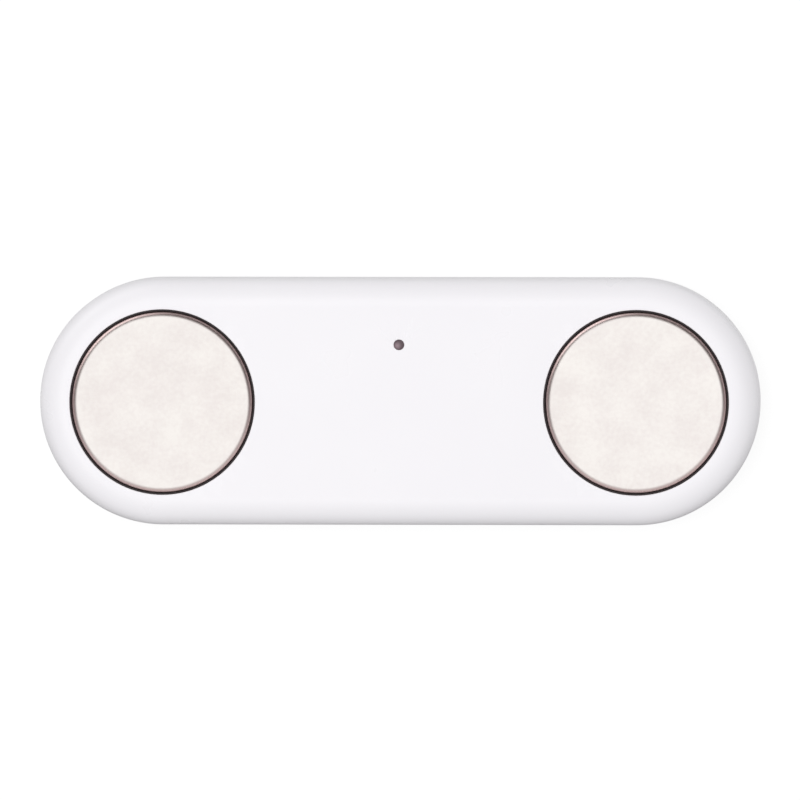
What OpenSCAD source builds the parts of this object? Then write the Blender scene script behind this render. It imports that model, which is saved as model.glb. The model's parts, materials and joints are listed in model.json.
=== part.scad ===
// Hand-held heart-rhythm monitor: a stadium-shaped case with two round steel finger electrodes,
// a status light in the face, a side power button and a coin cell behind a bayonet door.
// The case lies on its back at z = 0. Its long axis is X, the face looks up +Z, and the status
// light is on the +Y side of the centre line. The origin is the centre of the back.

/* [Case] */
// Length of the case from end to end
body_l = 105; // [100:1:120]
// Width of the case, and the diameter of its round ends
body_w = 36; // [36:0.5:40]
// Height of the case, from the back to the face
body_t = 11; // [10.8:0.1:12.5]
// Thickness of the side walls
side_wall = 1.5; // [1.4:0.05:1.6]
// Thickness of the face
face_wall = 1.5; // [1.4:0.1:1.7]
// Thickness of the back
floor_t = 1.5; // [1.2:0.1:1.6]
// Radius of the rounded edge round the face
face_fillet = 4; // [2:0.25:4]
// Radius of the rounded edge round the back
rear_fillet = 3; // [2:0.25:3]
// Height of the joint line between the two shells
parting_z = 3.2; // [3.1:0.05:3.4]

/* [Shell joint] */
// Height of the locating rib above the joint line
lip_h = 1; // [0.6:0.1:1.4]
// Thickness of the locating rib
lip_t = 0.8; // [0.6:0.1:1]
// Width of the rubber case seal
case_seal_w = 0.5; // [0.4:0.05:0.55]
// Depth of the case seal in its groove
case_seal_h = 0.4; // [0.3:0.05:0.6]
// Distance of the case seal from the outside of the case
case_seal_inset = 0.6; // [0.5:0.05:0.65]
// Depth of the shadow line between the two shells
reveal_depth = 0.2; // [0.1:0.05:0.3]
// Height of the shadow line
reveal_h = 0.2; // [0.1:0.05:0.3]

/* [Electrodes] */
// Outer diameter of an electrode
electrode_d = 26.4; // [24:0.1:26.5]
// Height of an electrode's edge, from its skirt to its top
electrode_h = 1.3; // [1.2:0.1:1.6]
// Height of the electrodes above the face
electrode_rise = 0.3; // [0.1:0.05:0.5]
// Radius of the rolled edge of an electrode
electrode_rim = 0.7; // [0.4:0.05:0.9]
// Sheet thickness of an electrode
electrode_sheet = 0.6; // [0.4:0.05:0.7]
// Gap round an electrode, where its dark seal shows
electrode_gap = 0.3; // [0.2:0.05:0.35]
// Depth of an electrode seal below the pocket's floor
electrode_seal_h = 0.3; // [0.2:0.05:0.4]
// Depth of the seal's lip below the face, in the gap round an electrode
seal_lip_depth = 0.2; // [0.1:0.05:0.5]
// Diameter of an electrode's welded stud
stud_d = 2.4; // [2:0.1:3]
// Thickness of the thickened face under an electrode pocket
pocket_pad_t = 0.8; // [0.6:0.1:1]

/* [Status light] */
// Distance of the light from the electrodes' centre line
light_y = 8.4; // [7:0.1:10]
// Diameter of the light window in the face
light_d = 1.55; // [1.2:0.05:2]

/* [Power button] */
// Distance of the button from the middle of the case
button_x = 18; // [17.5:0.5:20]
// Length of the button along the case
button_l = 9; // [7:0.5:10]
// Height of the button
button_h = 2.6; // [2:0.1:2.7]
// Travel of the button
button_travel = 0.3; // [0.2:0.05:0.35]
// Depth of the button's face inside the case's outline
button_recess = 0.1; // [0.05:0.05:0.3]

/* [Battery] */
// Diameter of the coin cell
cell_d = 20; // [19.6:0.1:20.2]
// Height of the coin cell
cell_h = 3.2; // [3:0.1:3.4]
// Diameter of the door's outer plate
door_d = 25.4; // [25.2:0.1:25.6]
// Thickness of the door's outer plate
door_plate_t = 0.9; // [0.8:0.05:1]
// Depth of the door's face inside the back
door_recess = 0.2; // [0.1:0.05:0.3]
// Turn of the door from locked to open, in degrees
door_turn = 40; // [34:1:44]
// Width of one bayonet lug, in degrees
lug_angle = 26; // [20:1:30]
// Length of the coin slot in the door
coin_slot_l = 15; // [12:0.5:17]
// Width of the coin slot
coin_slot_w = 2; // [1.6:0.1:2.4]

/* [Circuit board] */
// Gap between the board's long edges and the side walls
board_gap = 2.6; // [2.4:0.1:3]
// Thickness of the board
board_t = 1; // [0.8:0.1:1.1]
// Length of the board beyond an electrode's centre
board_past = 3.5; // [3:0.25:4]

/* [Screws] */
// Distance of a case screw from its end's centre, along X and along Y
case_screw_offset = 8.4; // [8:0.1:8.6]
// Diameter of a case screw's thread
case_screw_d = 1.9; // [1.6:0.1:2]
// Diameter of a board screw's thread
board_screw_d = 1.4; // [1.2:0.1:1.6]

/* [Hidden] */

$fn = 96;
// Small overlap that lets a cut run past a face
cut = 0.5;
// Clearance between flat faces that slide or seat
seat_gap = 0.05;
// Clearance round moving or dropped-in pieces
loose_gap = 0.3;

// Levels of the battery stack, from the back upwards
door_z = door_recess;
door_seal_d = 0.5;
ledge_z = door_z + door_plate_t + door_seal_d + seat_gap;
ledge_t = 0.8;
lug_z = ledge_z + ledge_t + seat_gap;
lug_t = 0.7;
seat_top_z = lug_z + lug_t + loose_gap;
door_core_t = 1.4;
cell_z = door_z + door_core_t;
leaf_space = 0.5;
holder_roof_t = 0.7;
holder_roof_z = cell_z + cell_h + leaf_space;
board_z = holder_roof_z + holder_roof_t;
board_top_z = board_z + board_t;

// Radii of the battery stack, from the cell outwards
door_wall_t = 0.85;
door_bore_r = cell_d / 2 + loose_gap;
door_core_r = door_bore_r + door_wall_t;
ledge_r = door_core_r + loose_gap;
lug_r = door_d / 2 - loose_gap;
lug_channel_r = door_d / 2;
door_pocket_r = door_d / 2 + loose_gap;
door_seat_wall = 1.4;
door_seat_r = door_pocket_r + door_seat_wall;
// Angular play of a lug at each end of its channel, in degrees
lug_play = 1.5;
lug_count = 3;
// Moulded marks that show where the door is locked and where it lifts out
mark_r = 0.45;
mark_depth = 0.15;
// Direction of the first locked lug, and of the closed mark, in degrees
lock_angle = 90;

// Levels of the electrode stack, from the top downwards
ceiling_z = body_t - face_wall;
electrode_top_z = body_t + electrode_rise;
pocket_z = electrode_top_z - electrode_h;
pocket_pad_z = ceiling_z - pocket_pad_t;
stud_reach = 0.6;
stud_z = pocket_pad_z - stud_reach;
electrode_x = (body_l - body_w) / 2;
pocket_r = electrode_d / 2 + electrode_gap;
// Width of the thickened face round a pocket
pocket_pad_w = 1;
pocket_pad_r = pocket_r + pocket_pad_w;
electrode_seal_w = 0.95;
stud_hole_r = stud_d / 2 + loose_gap;

// Outline of the board
board_l = 2 * (electrode_x + board_past);
board_w = body_w - 2 * (side_wall + board_gap);
board_corner_r = 3;

// Side wall and button
wall_inner_y = -(body_w / 2 - side_wall);
switch_h = 1.4;
switch_w = 4.7;
switch_depth = 3.5;
button_z = board_z - switch_h / 2;
button_gap = 0.15;
button_flange = 0.4;
button_flange_t = 0.7;
button_edge_r = 0.3;
button_face_y = -body_w / 2 + button_recess;
button_flange_y = wall_inner_y + seat_gap;
// Distance of the switch's front from the board's edge
switch_setback = 0.3;
switch_face_y = -board_w / 2 + switch_setback;
plunger_w = 2.2;
plunger_h = 0.9;
// Lengths of the plunger outside and inside the switch
plunger_out = 1.1;
plunger_in = 0.8;
plunger_tip_y = switch_face_y - plunger_out;

// Screws and posts
boss_meet_z = parting_z + lip_h;
case_screw_x = electrode_x + case_screw_offset;
case_boss_r = 2.1;
case_column_r = 2.4;
case_head_r = 1.6;
case_head_h = 1;
case_head_z = 0.35;
case_screw_l = 6;
board_screw_x = electrode_x + 0.5;
// Distance of the board screws from the board's long edges
board_screw_edge = 4.3;
board_screw_y = board_w / 2 - board_screw_edge;
board_post_r = 1.9;
board_head_r = 1.4;
board_head_h = 0.8;
board_screw_l = 3;
rest_pin_r = 1.2;
rest_pin_x = 16;
// Distance of the rest pins from the board's long edges
rest_pin_edge = 2;
rest_pin_y = board_w / 2 - rest_pin_edge;
// Radial play of a screw in its pilot hole, and of a pressed-in ring
snug_gap = 0.03;

// Colours, as the finished pieces show them
white_plastic = "#F6F4F7";
black_rubber = "#221A1B";
steel = "#D9D4D0";
spring_bronze = "#C9A15B";
black_plastic = "#26262A";
board_green = "#1D5B3A";
smoked_clear = "#80716F";

// ---------- shared shapes ----------

// Flat stadium outline, l long along X and w wide
module stadium(l, w) {
    square([l - w, w], center = true);
    for (side = [-1, 1])
        translate([side * (l - w) / 2, 0])
            circle(d = w);
}

// Half of an edge's section: r wide and h high, with its two outer corners rounded
module edge_section(r, h, top_r, bottom_r) {
    difference() {
        square([r, h]);
        if (top_r > 0)
            translate([r - top_r, h - top_r])
                difference() {
                    square(top_r + cut);
                    circle(top_r);
                }
        if (bottom_r > 0)
            translate([r - bottom_r, bottom_r])
                mirror([0, 1])
                    difference() {
                        square(bottom_r + cut);
                        circle(bottom_r);
                    }
    }
}

// Stadium block with rounded upper and lower edges
module round_stadium(l, w, h, top_r, bottom_r) {
    run = l - w;
    translate([-run / 2, 0, 0])
        rotate([90, 0, 90])
            linear_extrude(run) {
                edge_section(w / 2, h, top_r, bottom_r);
                mirror([1, 0])
                    edge_section(w / 2, h, top_r, bottom_r);
            }
    for (turn = [0, 180])
        rotate([0, 0, turn])
            translate([run / 2, 0, 0])
                rotate([0, 0, -90])
                    rotate_extrude(angle = 180)
                        edge_section(w / 2, h, top_r, bottom_r);
}

// Stadium ring that follows the case's outline, from one inset to another
module outline_ring(inset, width, h) {
    linear_extrude(h)
        difference() {
            stadium(body_l - 2 * inset, body_w - 2 * inset);
            stadium(body_l - 2 * (inset + width), body_w - 2 * (inset + width));
        }
}

// Ring sector from angle a, spanning sweep degrees
module ring_sector(r_in, r_out, h, a, sweep) {
    rotate([0, 0, a])
        rotate_extrude(angle = sweep)
            translate([r_in, 0])
                square([r_out - r_in, h]);
}

module tube(r_out, r_in, h) {
    difference() {
        cylinder(r = r_out, h = h);
        translate([0, 0, -cut])
            cylinder(r = r_in, h = h + 2 * cut);
    }
}

// Places its children at the four case screws
module at_case_screws() {
    for (sx = [-1, 1], sy = [-1, 1])
        translate([sx * case_screw_x, sy * case_screw_offset, 0])
            children();
}

// Places its children at the four board screws
module at_board_screws() {
    for (sx = [-1, 1], sy = [-1, 1])
        translate([sx * board_screw_x, sy * board_screw_y, 0])
            children();
}

// Pan-head screw, head down: the head hangs below z = 0 and the thread rises above it
module pan_screw(head_r, head_h, thread_d, l) {
    recess_l = 1.2 * head_r;
    recess_w = head_r / 3;
    recess_depth = head_h * 0.6;
    difference() {
        translate([0, 0, -head_h])
            rotate_extrude()
                edge_section(head_r, head_h, 0, head_h / 2);
        for (turn = [0, 90])
            rotate([0, 0, turn])
                translate([-recess_l / 2, -recess_w / 2, -head_h - cut])
                    cube([recess_l, recess_w, recess_depth + cut]);
    }
    cylinder(d = thread_d, h = l);
}

// ---------- case ----------

module case_solid() {
    round_stadium(body_l, body_w, body_t, face_fillet, rear_fillet);
}

module case_cavity() {
    translate([0, 0, floor_t])
        round_stadium(
            body_l - 2 * side_wall, body_w - 2 * side_wall, ceiling_z - floor_t,
            max(face_fillet - face_wall, 0.3), max(rear_fillet - floor_t, 0.3)
        );
}

// Everything between two levels, wider than the case
module slab(z0, z1) {
    translate([-body_l, -body_w, z0])
        cube([2 * body_l, 2 * body_w, z1 - z0]);
}

module front_shell() {
    color(white_plastic)
        difference() {
            union() {
                difference() {
                    intersection() {
                        case_solid();
                        slab(parting_z, body_t + cut);
                    }
                    case_cavity();
                }
                for (side = [-1, 1])
                    translate([side * electrode_x, 0, pocket_pad_z])
                        cylinder(r = pocket_pad_r, h = pocket_pad_t + face_wall / 2);
                at_case_screws()
                    translate([0, 0, boss_meet_z])
                        cylinder(r = case_boss_r, h = ceiling_z - boss_meet_z);
                at_board_screws()
                    translate([0, 0, board_top_z])
                        cylinder(r = board_post_r, h = ceiling_z - board_top_z);
                for (sx = [-1, 1], sy = [-1, 1])
                    translate([sx * rest_pin_x, sy * rest_pin_y, board_top_z])
                        cylinder(r = rest_pin_r, h = ceiling_z + face_wall / 2 - board_top_z);
            }
            for (side = [-1, 1])
                translate([side * electrode_x, 0, 0]) {
                    translate([0, 0, pocket_z])
                        cylinder(r = pocket_r, h = electrode_h + cut);
                    translate([0, 0, pocket_z - electrode_seal_h])
                        tube(pocket_r, pocket_r - electrode_seal_w, electrode_seal_h + cut);
                    translate([0, 0, stud_z])
                        cylinder(r = stud_hole_r, h = body_t - stud_z);
                }
            at_case_screws()
                translate([0, 0, boss_meet_z - cut])
                    cylinder(
                        r = case_screw_d / 2 + snug_gap,
                        h = case_head_z + case_head_h + case_screw_l + loose_gap - boss_meet_z + cut
                    );
            at_board_screws()
                translate([0, 0, board_top_z - cut])
                    cylinder(
                        r = board_screw_d / 2 + snug_gap,
                        h = board_screw_l - board_t + loose_gap + cut
                    );
            translate([0, light_y, ceiling_z - cut])
                cylinder(d = light_d, h = face_wall + 2 * cut);
            translate([button_x, -body_w / 2 - cut, button_z])
                rotate([-90, 0, 0])
                    linear_extrude(side_wall + 2 * cut)
                        stadium(button_l + 2 * button_gap, button_h + 2 * button_gap);
        }
}

module rear_shell() {
    rib_notch = button_l + 2 * (button_flange + 1);
    color(white_plastic)
        difference() {
            union() {
                difference() {
                    intersection() {
                        case_solid();
                        slab(-cut, parting_z);
                    }
                    case_cavity();
                }
                translate([0, 0, floor_t - cut])
                    difference() {
                        outline_ring(side_wall + seat_gap, lip_t, boss_meet_z - floor_t + cut);
                        // The rib stops short of the button's flange
                        translate([button_x - rib_notch / 2, -body_w / 2, parting_z - floor_t + cut])
                            cube([rib_notch, side_wall + 2 * lip_t, lip_h + cut]);
                    }
                cylinder(r = door_seat_r, h = seat_top_z);
                at_case_screws()
                    translate([0, 0, floor_t / 2])
                        cylinder(r = case_column_r, h = boss_meet_z - floor_t / 2);
            }
            // Shadow line round the outside of the rim
            translate([0, 0, parting_z - reveal_h])
                outline_ring(-cut, reveal_depth + cut, reveal_h + cut);
            // Groove for the case seal
            translate([0, 0, parting_z - case_seal_h])
                outline_ring(case_seal_inset - seat_gap, case_seal_w + 2 * seat_gap, case_seal_h + cut);
            // Case screws: head recess and clearance hole
            at_case_screws() {
                translate([0, 0, -cut])
                    cylinder(r = case_head_r + loose_gap / 2, h = case_head_z + case_head_h + cut);
                cylinder(r = case_screw_d / 2 + loose_gap / 2, h = boss_meet_z + cut);
            }
            // Door seat: pocket for the plate, bore, lug channels and their ways in
            translate([0, 0, -cut])
                cylinder(r = door_pocket_r, h = ledge_z + cut);
            cylinder(r = ledge_r, h = seat_top_z + cut);
            for (i = [0 : lug_count - 1]) {
                open_start = lock_angle - door_turn - lug_angle / 2 - lug_play + i * 360 / lug_count;
                translate([0, 0, ledge_z + ledge_t])
                    ring_sector(
                        ledge_r - cut, lug_channel_r, seat_top_z - ledge_z,
                        open_start, door_turn + lug_angle + 2 * lug_play
                    );
                translate([0, 0, ledge_z - cut])
                    ring_sector(
                        ledge_r - cut, lug_channel_r, ledge_t + 2 * cut,
                        open_start, lug_angle + 2 * lug_play
                    );
            }
            // Locked mark, a dot, and open mark, a ring
            rotate([0, 0, lock_angle])
                translate([door_pocket_r + 2 * mark_r, 0, -cut])
                    cylinder(r = mark_r, h = mark_depth + cut);
            rotate([0, 0, lock_angle - door_turn])
                translate([door_pocket_r + 2 * mark_r, 0, -cut])
                    tube(mark_r, mark_r / 2, mark_depth + cut);
        }
}

module case_seal() {
    color(black_rubber)
        translate([0, 0, parting_z - case_seal_h])
            outline_ring(case_seal_inset, case_seal_w, case_seal_h);
}

module case_screws() {
    color(steel)
        at_case_screws()
            translate([0, 0, case_head_z + case_head_h])
                pan_screw(case_head_r, case_head_h, case_screw_d, case_screw_l);
}

// ---------- electrodes ----------

// Drawn steel cap with a rolled edge and a stud welded to its back
module electrode() {
    color(steel)
        rotate_extrude() {
            translate([0, pocket_z])
                difference() {
                    edge_section(electrode_d / 2, electrode_h, electrode_rim, 0);
                    translate([-cut, -cut])
                        square([
                            electrode_d / 2 - electrode_sheet + cut,
                            electrode_h - electrode_sheet + cut
                        ]);
                }
            translate([0, stud_z])
                square([stud_d / 2, electrode_top_z - electrode_sheet / 2 - stud_z]);
        }
}

// Rubber ring: its foot lies under the cap's skirt, and its lip stands in the gap round it
module electrode_seal() {
    foot_z = pocket_z - electrode_seal_h;
    foot_r = pocket_r - electrode_seal_w + seat_gap;
    seal_r = pocket_r - snug_gap;
    lip_r = electrode_d / 2 + snug_gap;
    color(black_rubber)
        translate([0, 0, foot_z])
            rotate_extrude() {
                translate([foot_r, 0])
                    square([seal_r - foot_r, electrode_seal_h]);
                translate([lip_r, 0])
                    square([seal_r - lip_r, body_t - seal_lip_depth - foot_z]);
            }
}

// Adhesive foam disc that bonds the cap to the pocket's floor
module electrode_pad() {
    color("#E8E6DF")
        translate([0, 0, pocket_z])
            tube(
                electrode_d / 2 - electrode_sheet - loose_gap, stud_hole_r,
                electrode_h - electrode_sheet
            );
}

// Push-on washer that grips the stud behind the face
module stud_washer() {
    washer_t = stud_reach / 2;
    washer_w = 1.8;
    color(steel)
        translate([0, 0, pocket_pad_z - washer_t])
            tube(stud_d / 2 + washer_w, stud_d / 2 + snug_gap, washer_t);
}

// Folded strip between the board and the end of the stud
module contact_spring() {
    strip_t = 0.2;
    strip_w = 2.4;
    foot_l = 4;
    arm_l = 3.2;
    rise = stud_z - board_top_z;
    color(spring_bronze)
        translate([-foot_l / 2, strip_w / 2, board_top_z])
            rotate([90, 0, 0])
                linear_extrude(strip_w) {
                    square([foot_l, strip_t]);
                    translate([0, rise - strip_t])
                        square([arm_l, strip_t]);
                    translate([0, rise / 2])
                        intersection() {
                            difference() {
                                circle(rise / 2);
                                circle(rise / 2 - strip_t);
                            }
                            translate([-rise, -rise])
                                square([rise, 2 * rise]);
                        }
                }
}

module on_left() {
    translate([-electrode_x, 0, 0])
        children();
}

module on_right() {
    translate([electrode_x, 0, 0])
        mirror([1, 0, 0])
            children();
}

// ---------- status light ----------

led_h = 0.65;

module light_guide() {
    collar_r = 1.4;
    collar_t = 0.5;
    guide_r = 1.1;
    guide_z = board_top_z + led_h + seat_gap;
    window_recess = 0.05;
    color(smoked_clear)
        translate([0, light_y, 0]) {
            translate([0, 0, guide_z])
                cylinder(r = guide_r, h = ceiling_z - guide_z);
            translate([0, 0, ceiling_z - collar_t])
                cylinder(r = collar_r, h = collar_t);
            translate([0, 0, ceiling_z - collar_t])
                cylinder(d = light_d, h = face_wall + collar_t - window_recess);
        }
}

module status_led() {
    base = [1.6, 0.8, led_h / 2];
    lens = [1, 0.8, led_h / 2];
    color("#E9E4D4") {
        on_board([0, light_y], base);
        translate([0, 0, base[2]])
            on_board([0, light_y], lens);
    }
}

// ---------- circuit board and what it carries ----------

// Places of the chips along the board, and the spacing of the small parts round them
amplifier_x = 11;
radio_x = -12;
crystal_y = -6;
chip_gap = 5.5;
chip_pitch = 1.8;

// Block of size [l, w, h] that stands on the board, centred on p
module on_board(p, size) {
    translate([p[0] - size[0] / 2, p[1] - size[1] / 2, board_top_z])
        cube(size);
}

module main_board() {
    color(board_green)
        translate([0, 0, board_z])
            linear_extrude(board_t)
                difference() {
                    union() {
                        square([board_l - 2 * board_corner_r, board_w], center = true);
                        square([board_l, board_w - 2 * board_corner_r], center = true);
                        for (sx = [-1, 1], sy = [-1, 1])
                            translate([
                                sx * (board_l / 2 - board_corner_r),
                                sy * (board_w / 2 - board_corner_r)
                            ])
                                circle(board_corner_r);
                    }
                    for (sx = [-1, 1], sy = [-1, 1])
                        translate([sx * board_screw_x, sy * board_screw_y])
                            circle(d = board_screw_d + loose_gap);
                }
}

module board_screws() {
    color(steel)
        at_board_screws()
            translate([0, 0, board_z])
                pan_screw(board_head_r, board_head_h, board_screw_d, board_screw_l);
}

// Flat chip with a row of bent legs on each side
module amplifier_chip() {
    chip_w = 5;
    chip_h = 0.9;
    stand_off = 0.1;
    leg_count = 8;
    leg_pitch = 0.5;
    leg_w = 0.22;
    leg_out = 0.9;
    leg_t = 0.12;
    color(black_plastic)
        translate([amplifier_x, 0, board_top_z]) {
            translate([-chip_w / 2, -chip_w / 2, stand_off])
                cube([chip_w, chip_w, chip_h]);
            for (turn = [0 : 90 : 270], i = [0 : leg_count - 1])
                rotate([0, 0, turn])
                    translate([chip_w / 2, (i - (leg_count - 1) / 2) * leg_pitch - leg_w / 2, 0]) {
                        cube([leg_out, leg_w, leg_t]);
                        translate([-leg_w, 0, 0])
                            cube([leg_w + leg_t, leg_w, chip_h / 2]);
                    }
        }
}

// Small daughter board with a screening can over its chips
module radio_module() {
    module_l = 12;
    module_w = 9;
    module_t = 0.5;
    can_inset = 0.6;
    can_l = 8.5;
    can_h = 1.1;
    can_x = radio_x + (module_l - can_l) / 2 - can_inset;
    color("silver") {
        on_board([radio_x, 0], [module_l, module_w, module_t]);
        translate([0, 0, module_t])
            on_board([can_x, 0], [can_l, module_w - 2 * can_inset, can_h]);
    }
}

// Ceramic bar in the corner of the board, clear of its screw
module chip_antenna() {
    antenna = [7, 2, 0.9];
    from_end = 11;
    from_edge = 1.5;
    color("#CFD6DE")
        on_board([from_end - board_l / 2, board_w / 2 - from_edge], antenna);
}

module timing_crystal() {
    crystal = [3.2, 2.5, 0.5];
    lid_inset = 0.2;
    lid_h = 0.25;
    color("silver") {
        on_board([0, crystal_y], crystal);
        translate([0, 0, crystal[2]])
            on_board([0, crystal_y], [crystal[0] - 2 * lid_inset, crystal[1] - 2 * lid_inset, lid_h]);
    }
}

// Rows of parts of one size, columns by rows of them, centred on p and pitch apart
module part_rows(p, columns, rows, pitch, size) {
    for (i = [0 : columns - 1], j = [0 : rows - 1])
        on_board(
            [
                p[0] + (i - (columns - 1) / 2) * pitch,
                p[1] + (j - (rows - 1) / 2) * pitch
            ],
            size
        );
}

// A block beside the amplifier, and a row by the light
module board_resistors() {
    resistor = [1, 0.5, 0.35];
    block_x = amplifier_x + 2 * chip_gap;
    color(black_plastic) {
        part_rows([block_x, 0], 3, 4, chip_pitch, resistor);
        part_rows([amplifier_x, light_y], 4, 1, chip_pitch, resistor);
    }
}

// A block behind the radio module, and a block below the amplifier
module board_capacitors() {
    capacitor = [1, 0.5, 0.5];
    block_x = radio_x - 2 * chip_gap;
    color("#B9A27C") {
        part_rows([block_x, 0], 3, 3, chip_pitch, capacitor);
        part_rows([amplifier_x, -light_y], 3, 2, chip_pitch, capacitor);
    }
}

// ---------- power button ----------

// Push switch on the underside of the board, with a slot for its plunger
module power_switch() {
    // Solder tabs that run out under the body on both sides
    tab = [switch_w + 1, 0.8, 0.2];
    tab_inset = 0.4;
    // Slot that the plunger slides in
    slot_w = plunger_w + 2 * button_gap;
    slot_h = plunger_h + 2 * button_gap;
    slot_depth = plunger_in + button_travel + button_gap;
    color("silver")
        translate([button_x, switch_face_y, board_z])
            difference() {
                union() {
                    translate([-switch_w / 2, 0, -switch_h])
                        cube([switch_w, switch_depth, switch_h]);
                    for (tab_y = [tab_inset, switch_depth - tab_inset - tab[1]])
                        translate([-tab[0] / 2, tab_y, -tab[2]])
                            cube(tab);
                }
                translate([-slot_w / 2, -cut, button_z - board_z - slot_h / 2])
                    cube([slot_w, cut + slot_depth, slot_h]);
            }
}

module switch_plunger() {
    color(black_plastic)
        translate([button_x - plunger_w / 2, plunger_tip_y, button_z - plunger_h / 2])
            cube([plunger_w, plunger_out + plunger_in, plunger_h]);
}

// Key cap that is pushed in from outside, with a flange that keeps it in the wall
module power_button() {
    cap_depth = button_flange_y - button_face_y;
    color(white_plastic)
        translate([button_x, button_face_y, button_z])
            rotate([-90, 0, 0]) {
                round_stadium(button_l, button_h, cap_depth, 0, button_edge_r);
                translate([0, 0, cap_depth])
                    linear_extrude(button_flange_t)
                        stadium(button_l + 2 * button_flange, button_h + 2 * button_flange);
                translate([-plunger_w / 2, -plunger_h / 2, cap_depth])
                    cube([plunger_w, plunger_h, plunger_tip_y - button_flange_y]);
            }
}

// ---------- battery ----------

contact_strip_t = 0.2;
contact_window_w = 3.6;
holder_wall = 1.35;
holder_z = seat_top_z;

// Moulded ring under the board that the cell sits up into
module battery_holder() {
    leaf_hole_r = 5;
    bore_r = cell_d / 2 + loose_gap;
    color(black_plastic)
        difference() {
            translate([0, 0, holder_z])
                cylinder(r = bore_r + holder_wall, h = board_z - holder_z);
            translate([0, 0, holder_z - cut])
                cylinder(r = bore_r, h = holder_roof_z - holder_z + cut);
            cylinder(r = leaf_hole_r, h = board_z + cut);
            // Window for the side contact
            translate([cell_d / 2 - cut, -contact_window_w / 2, holder_z - cut])
                cube([holder_wall + 2 * cut, contact_window_w, board_z - holder_z + 2 * cut]);
        }
}

// Bent strip from the board down to the side of the cell's can
module positive_contact() {
    strip_w = contact_window_w - 2 * loose_gap;
    foot_l = 3.4;
    leg_down = 2.2;
    color(spring_bronze)
        translate([cell_d / 2, -strip_w / 2, 0]) {
            translate([0, 0, board_z - contact_strip_t])
                cube([foot_l, strip_w, contact_strip_t]);
            translate([0, 0, board_z - leg_down])
                cube([contact_strip_t, strip_w, leg_down]);
        }
}

// Leaf from the board that presses on the cell's cap
module negative_contact() {
    strip_w = 3;
    foot_end = -1.1;
    foot_start = -4;
    tip_start = 2.6;
    tip_end = 3.6;
    leaf_drop = board_z - (cell_z + cell_h);
    t = contact_strip_t;
    color(spring_bronze)
        translate([0, strip_w / 2, board_z])
            rotate([90, 0, 0])
                linear_extrude(strip_w)
                    polygon([
                        [foot_start, -t], [foot_end, -t], [tip_start, -leaf_drop],
                        [tip_end, -leaf_drop], [tip_end, t - leaf_drop], [tip_start, t - leaf_drop],
                        [foot_end, 0], [foot_start, 0]
                    ]);
}

// Coin cell: a can with a chamfered foot, and the smaller cap on its upper side
module coin_cell() {
    foot_edge = 0.4;
    cap_h = 0.2;
    cap_inset = 1.1;
    shoulder = 0.1;
    r = cell_d / 2;
    color("#C9CACC")
        translate([0, 0, cell_z])
            rotate_extrude()
                polygon([
                    [0, 0], [r - foot_edge, 0], [r, foot_edge],
                    [r, cell_h - cap_h - shoulder], [r - shoulder, cell_h - cap_h],
                    [r - cap_inset, cell_h - cap_h], [r - cap_inset, cell_h], [0, cell_h]
                ]);
}

// Round door with a coin slot outside, and a ring with three bayonet lugs inside
module battery_door() {
    slot_depth = 0.7;
    edge_r = 0.3;
    color(white_plastic)
        difference() {
            union() {
                translate([0, 0, door_z]) {
                    rotate_extrude()
                        edge_section(door_d / 2, door_plate_t, 0, edge_r);
                    cylinder(r = door_core_r, h = door_core_t);
                }
                translate([0, 0, cell_z - cut])
                    tube(door_core_r, door_bore_r, lug_z + lug_t - cell_z + cut);
                for (i = [0 : lug_count - 1])
                    translate([0, 0, lug_z])
                        ring_sector(
                            door_bore_r + door_wall_t / 2, lug_r, lug_t,
                            lock_angle - lug_angle / 2 + i * 360 / lug_count, lug_angle
                        );
            }
            translate([0, 0, -cut])
                linear_extrude(door_z + slot_depth + cut)
                    stadium(coin_slot_l, coin_slot_w);
            rotate([0, 0, lock_angle])
                translate([door_d / 2 - 3 * mark_r, 0, -cut])
                    cylinder(r = mark_r, h = door_z + mark_depth + cut);
        }
}

// Rubber ring between the door's plate and the ledge
module door_seal() {
    color(black_rubber)
        translate([0, 0, door_z + door_plate_t + door_seal_d / 2])
            rotate_extrude()
                translate([door_core_r + seat_gap + door_seal_d / 2, 0])
                    circle(d = door_seal_d);
}

front_shell();
rear_shell();
case_seal();
case_screws();
on_left() electrode();  // left_electrode
on_right() electrode();  // right_electrode
on_left() electrode_seal();  // left_electrode_seal
on_right() electrode_seal();  // right_electrode_seal
on_left() electrode_pad();  // left_electrode_pad
on_right() electrode_pad();  // right_electrode_pad
on_left() stud_washer();  // left_stud_washer
on_right() stud_washer();  // right_stud_washer
on_left() contact_spring();  // left_contact_spring
on_right() contact_spring();  // right_contact_spring
light_guide();
status_led();
main_board();
board_screws();
amplifier_chip();
radio_module();
chip_antenna();
timing_crystal();
board_resistors();
board_capacitors();
power_switch();
switch_plunger();
power_button();
battery_holder();
positive_contact();
negative_contact();
coin_cell();
battery_door();
door_seal();
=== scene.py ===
"""The looks of a handheld heart-rhythm monitor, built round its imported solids.

Every piece that shows is one closed surface, worked out with numpy in millimetres from four kinds of
patch: a profile carried round a stadium outline, a profile turned about an upright axis, the same with
a radius that steps with the angle, and a flat face with holes in it. The pieces that are sealed inside
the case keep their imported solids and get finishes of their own.
"""

import json
import logging
import math
from dataclasses import dataclass, field
from enum import Enum
from typing import Iterable, Sequence

import bmesh
import bpy
import numpy as np
from mathutils import Matrix, Vector
from mathutils.geometry import delaunay_2d_cdt


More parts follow.
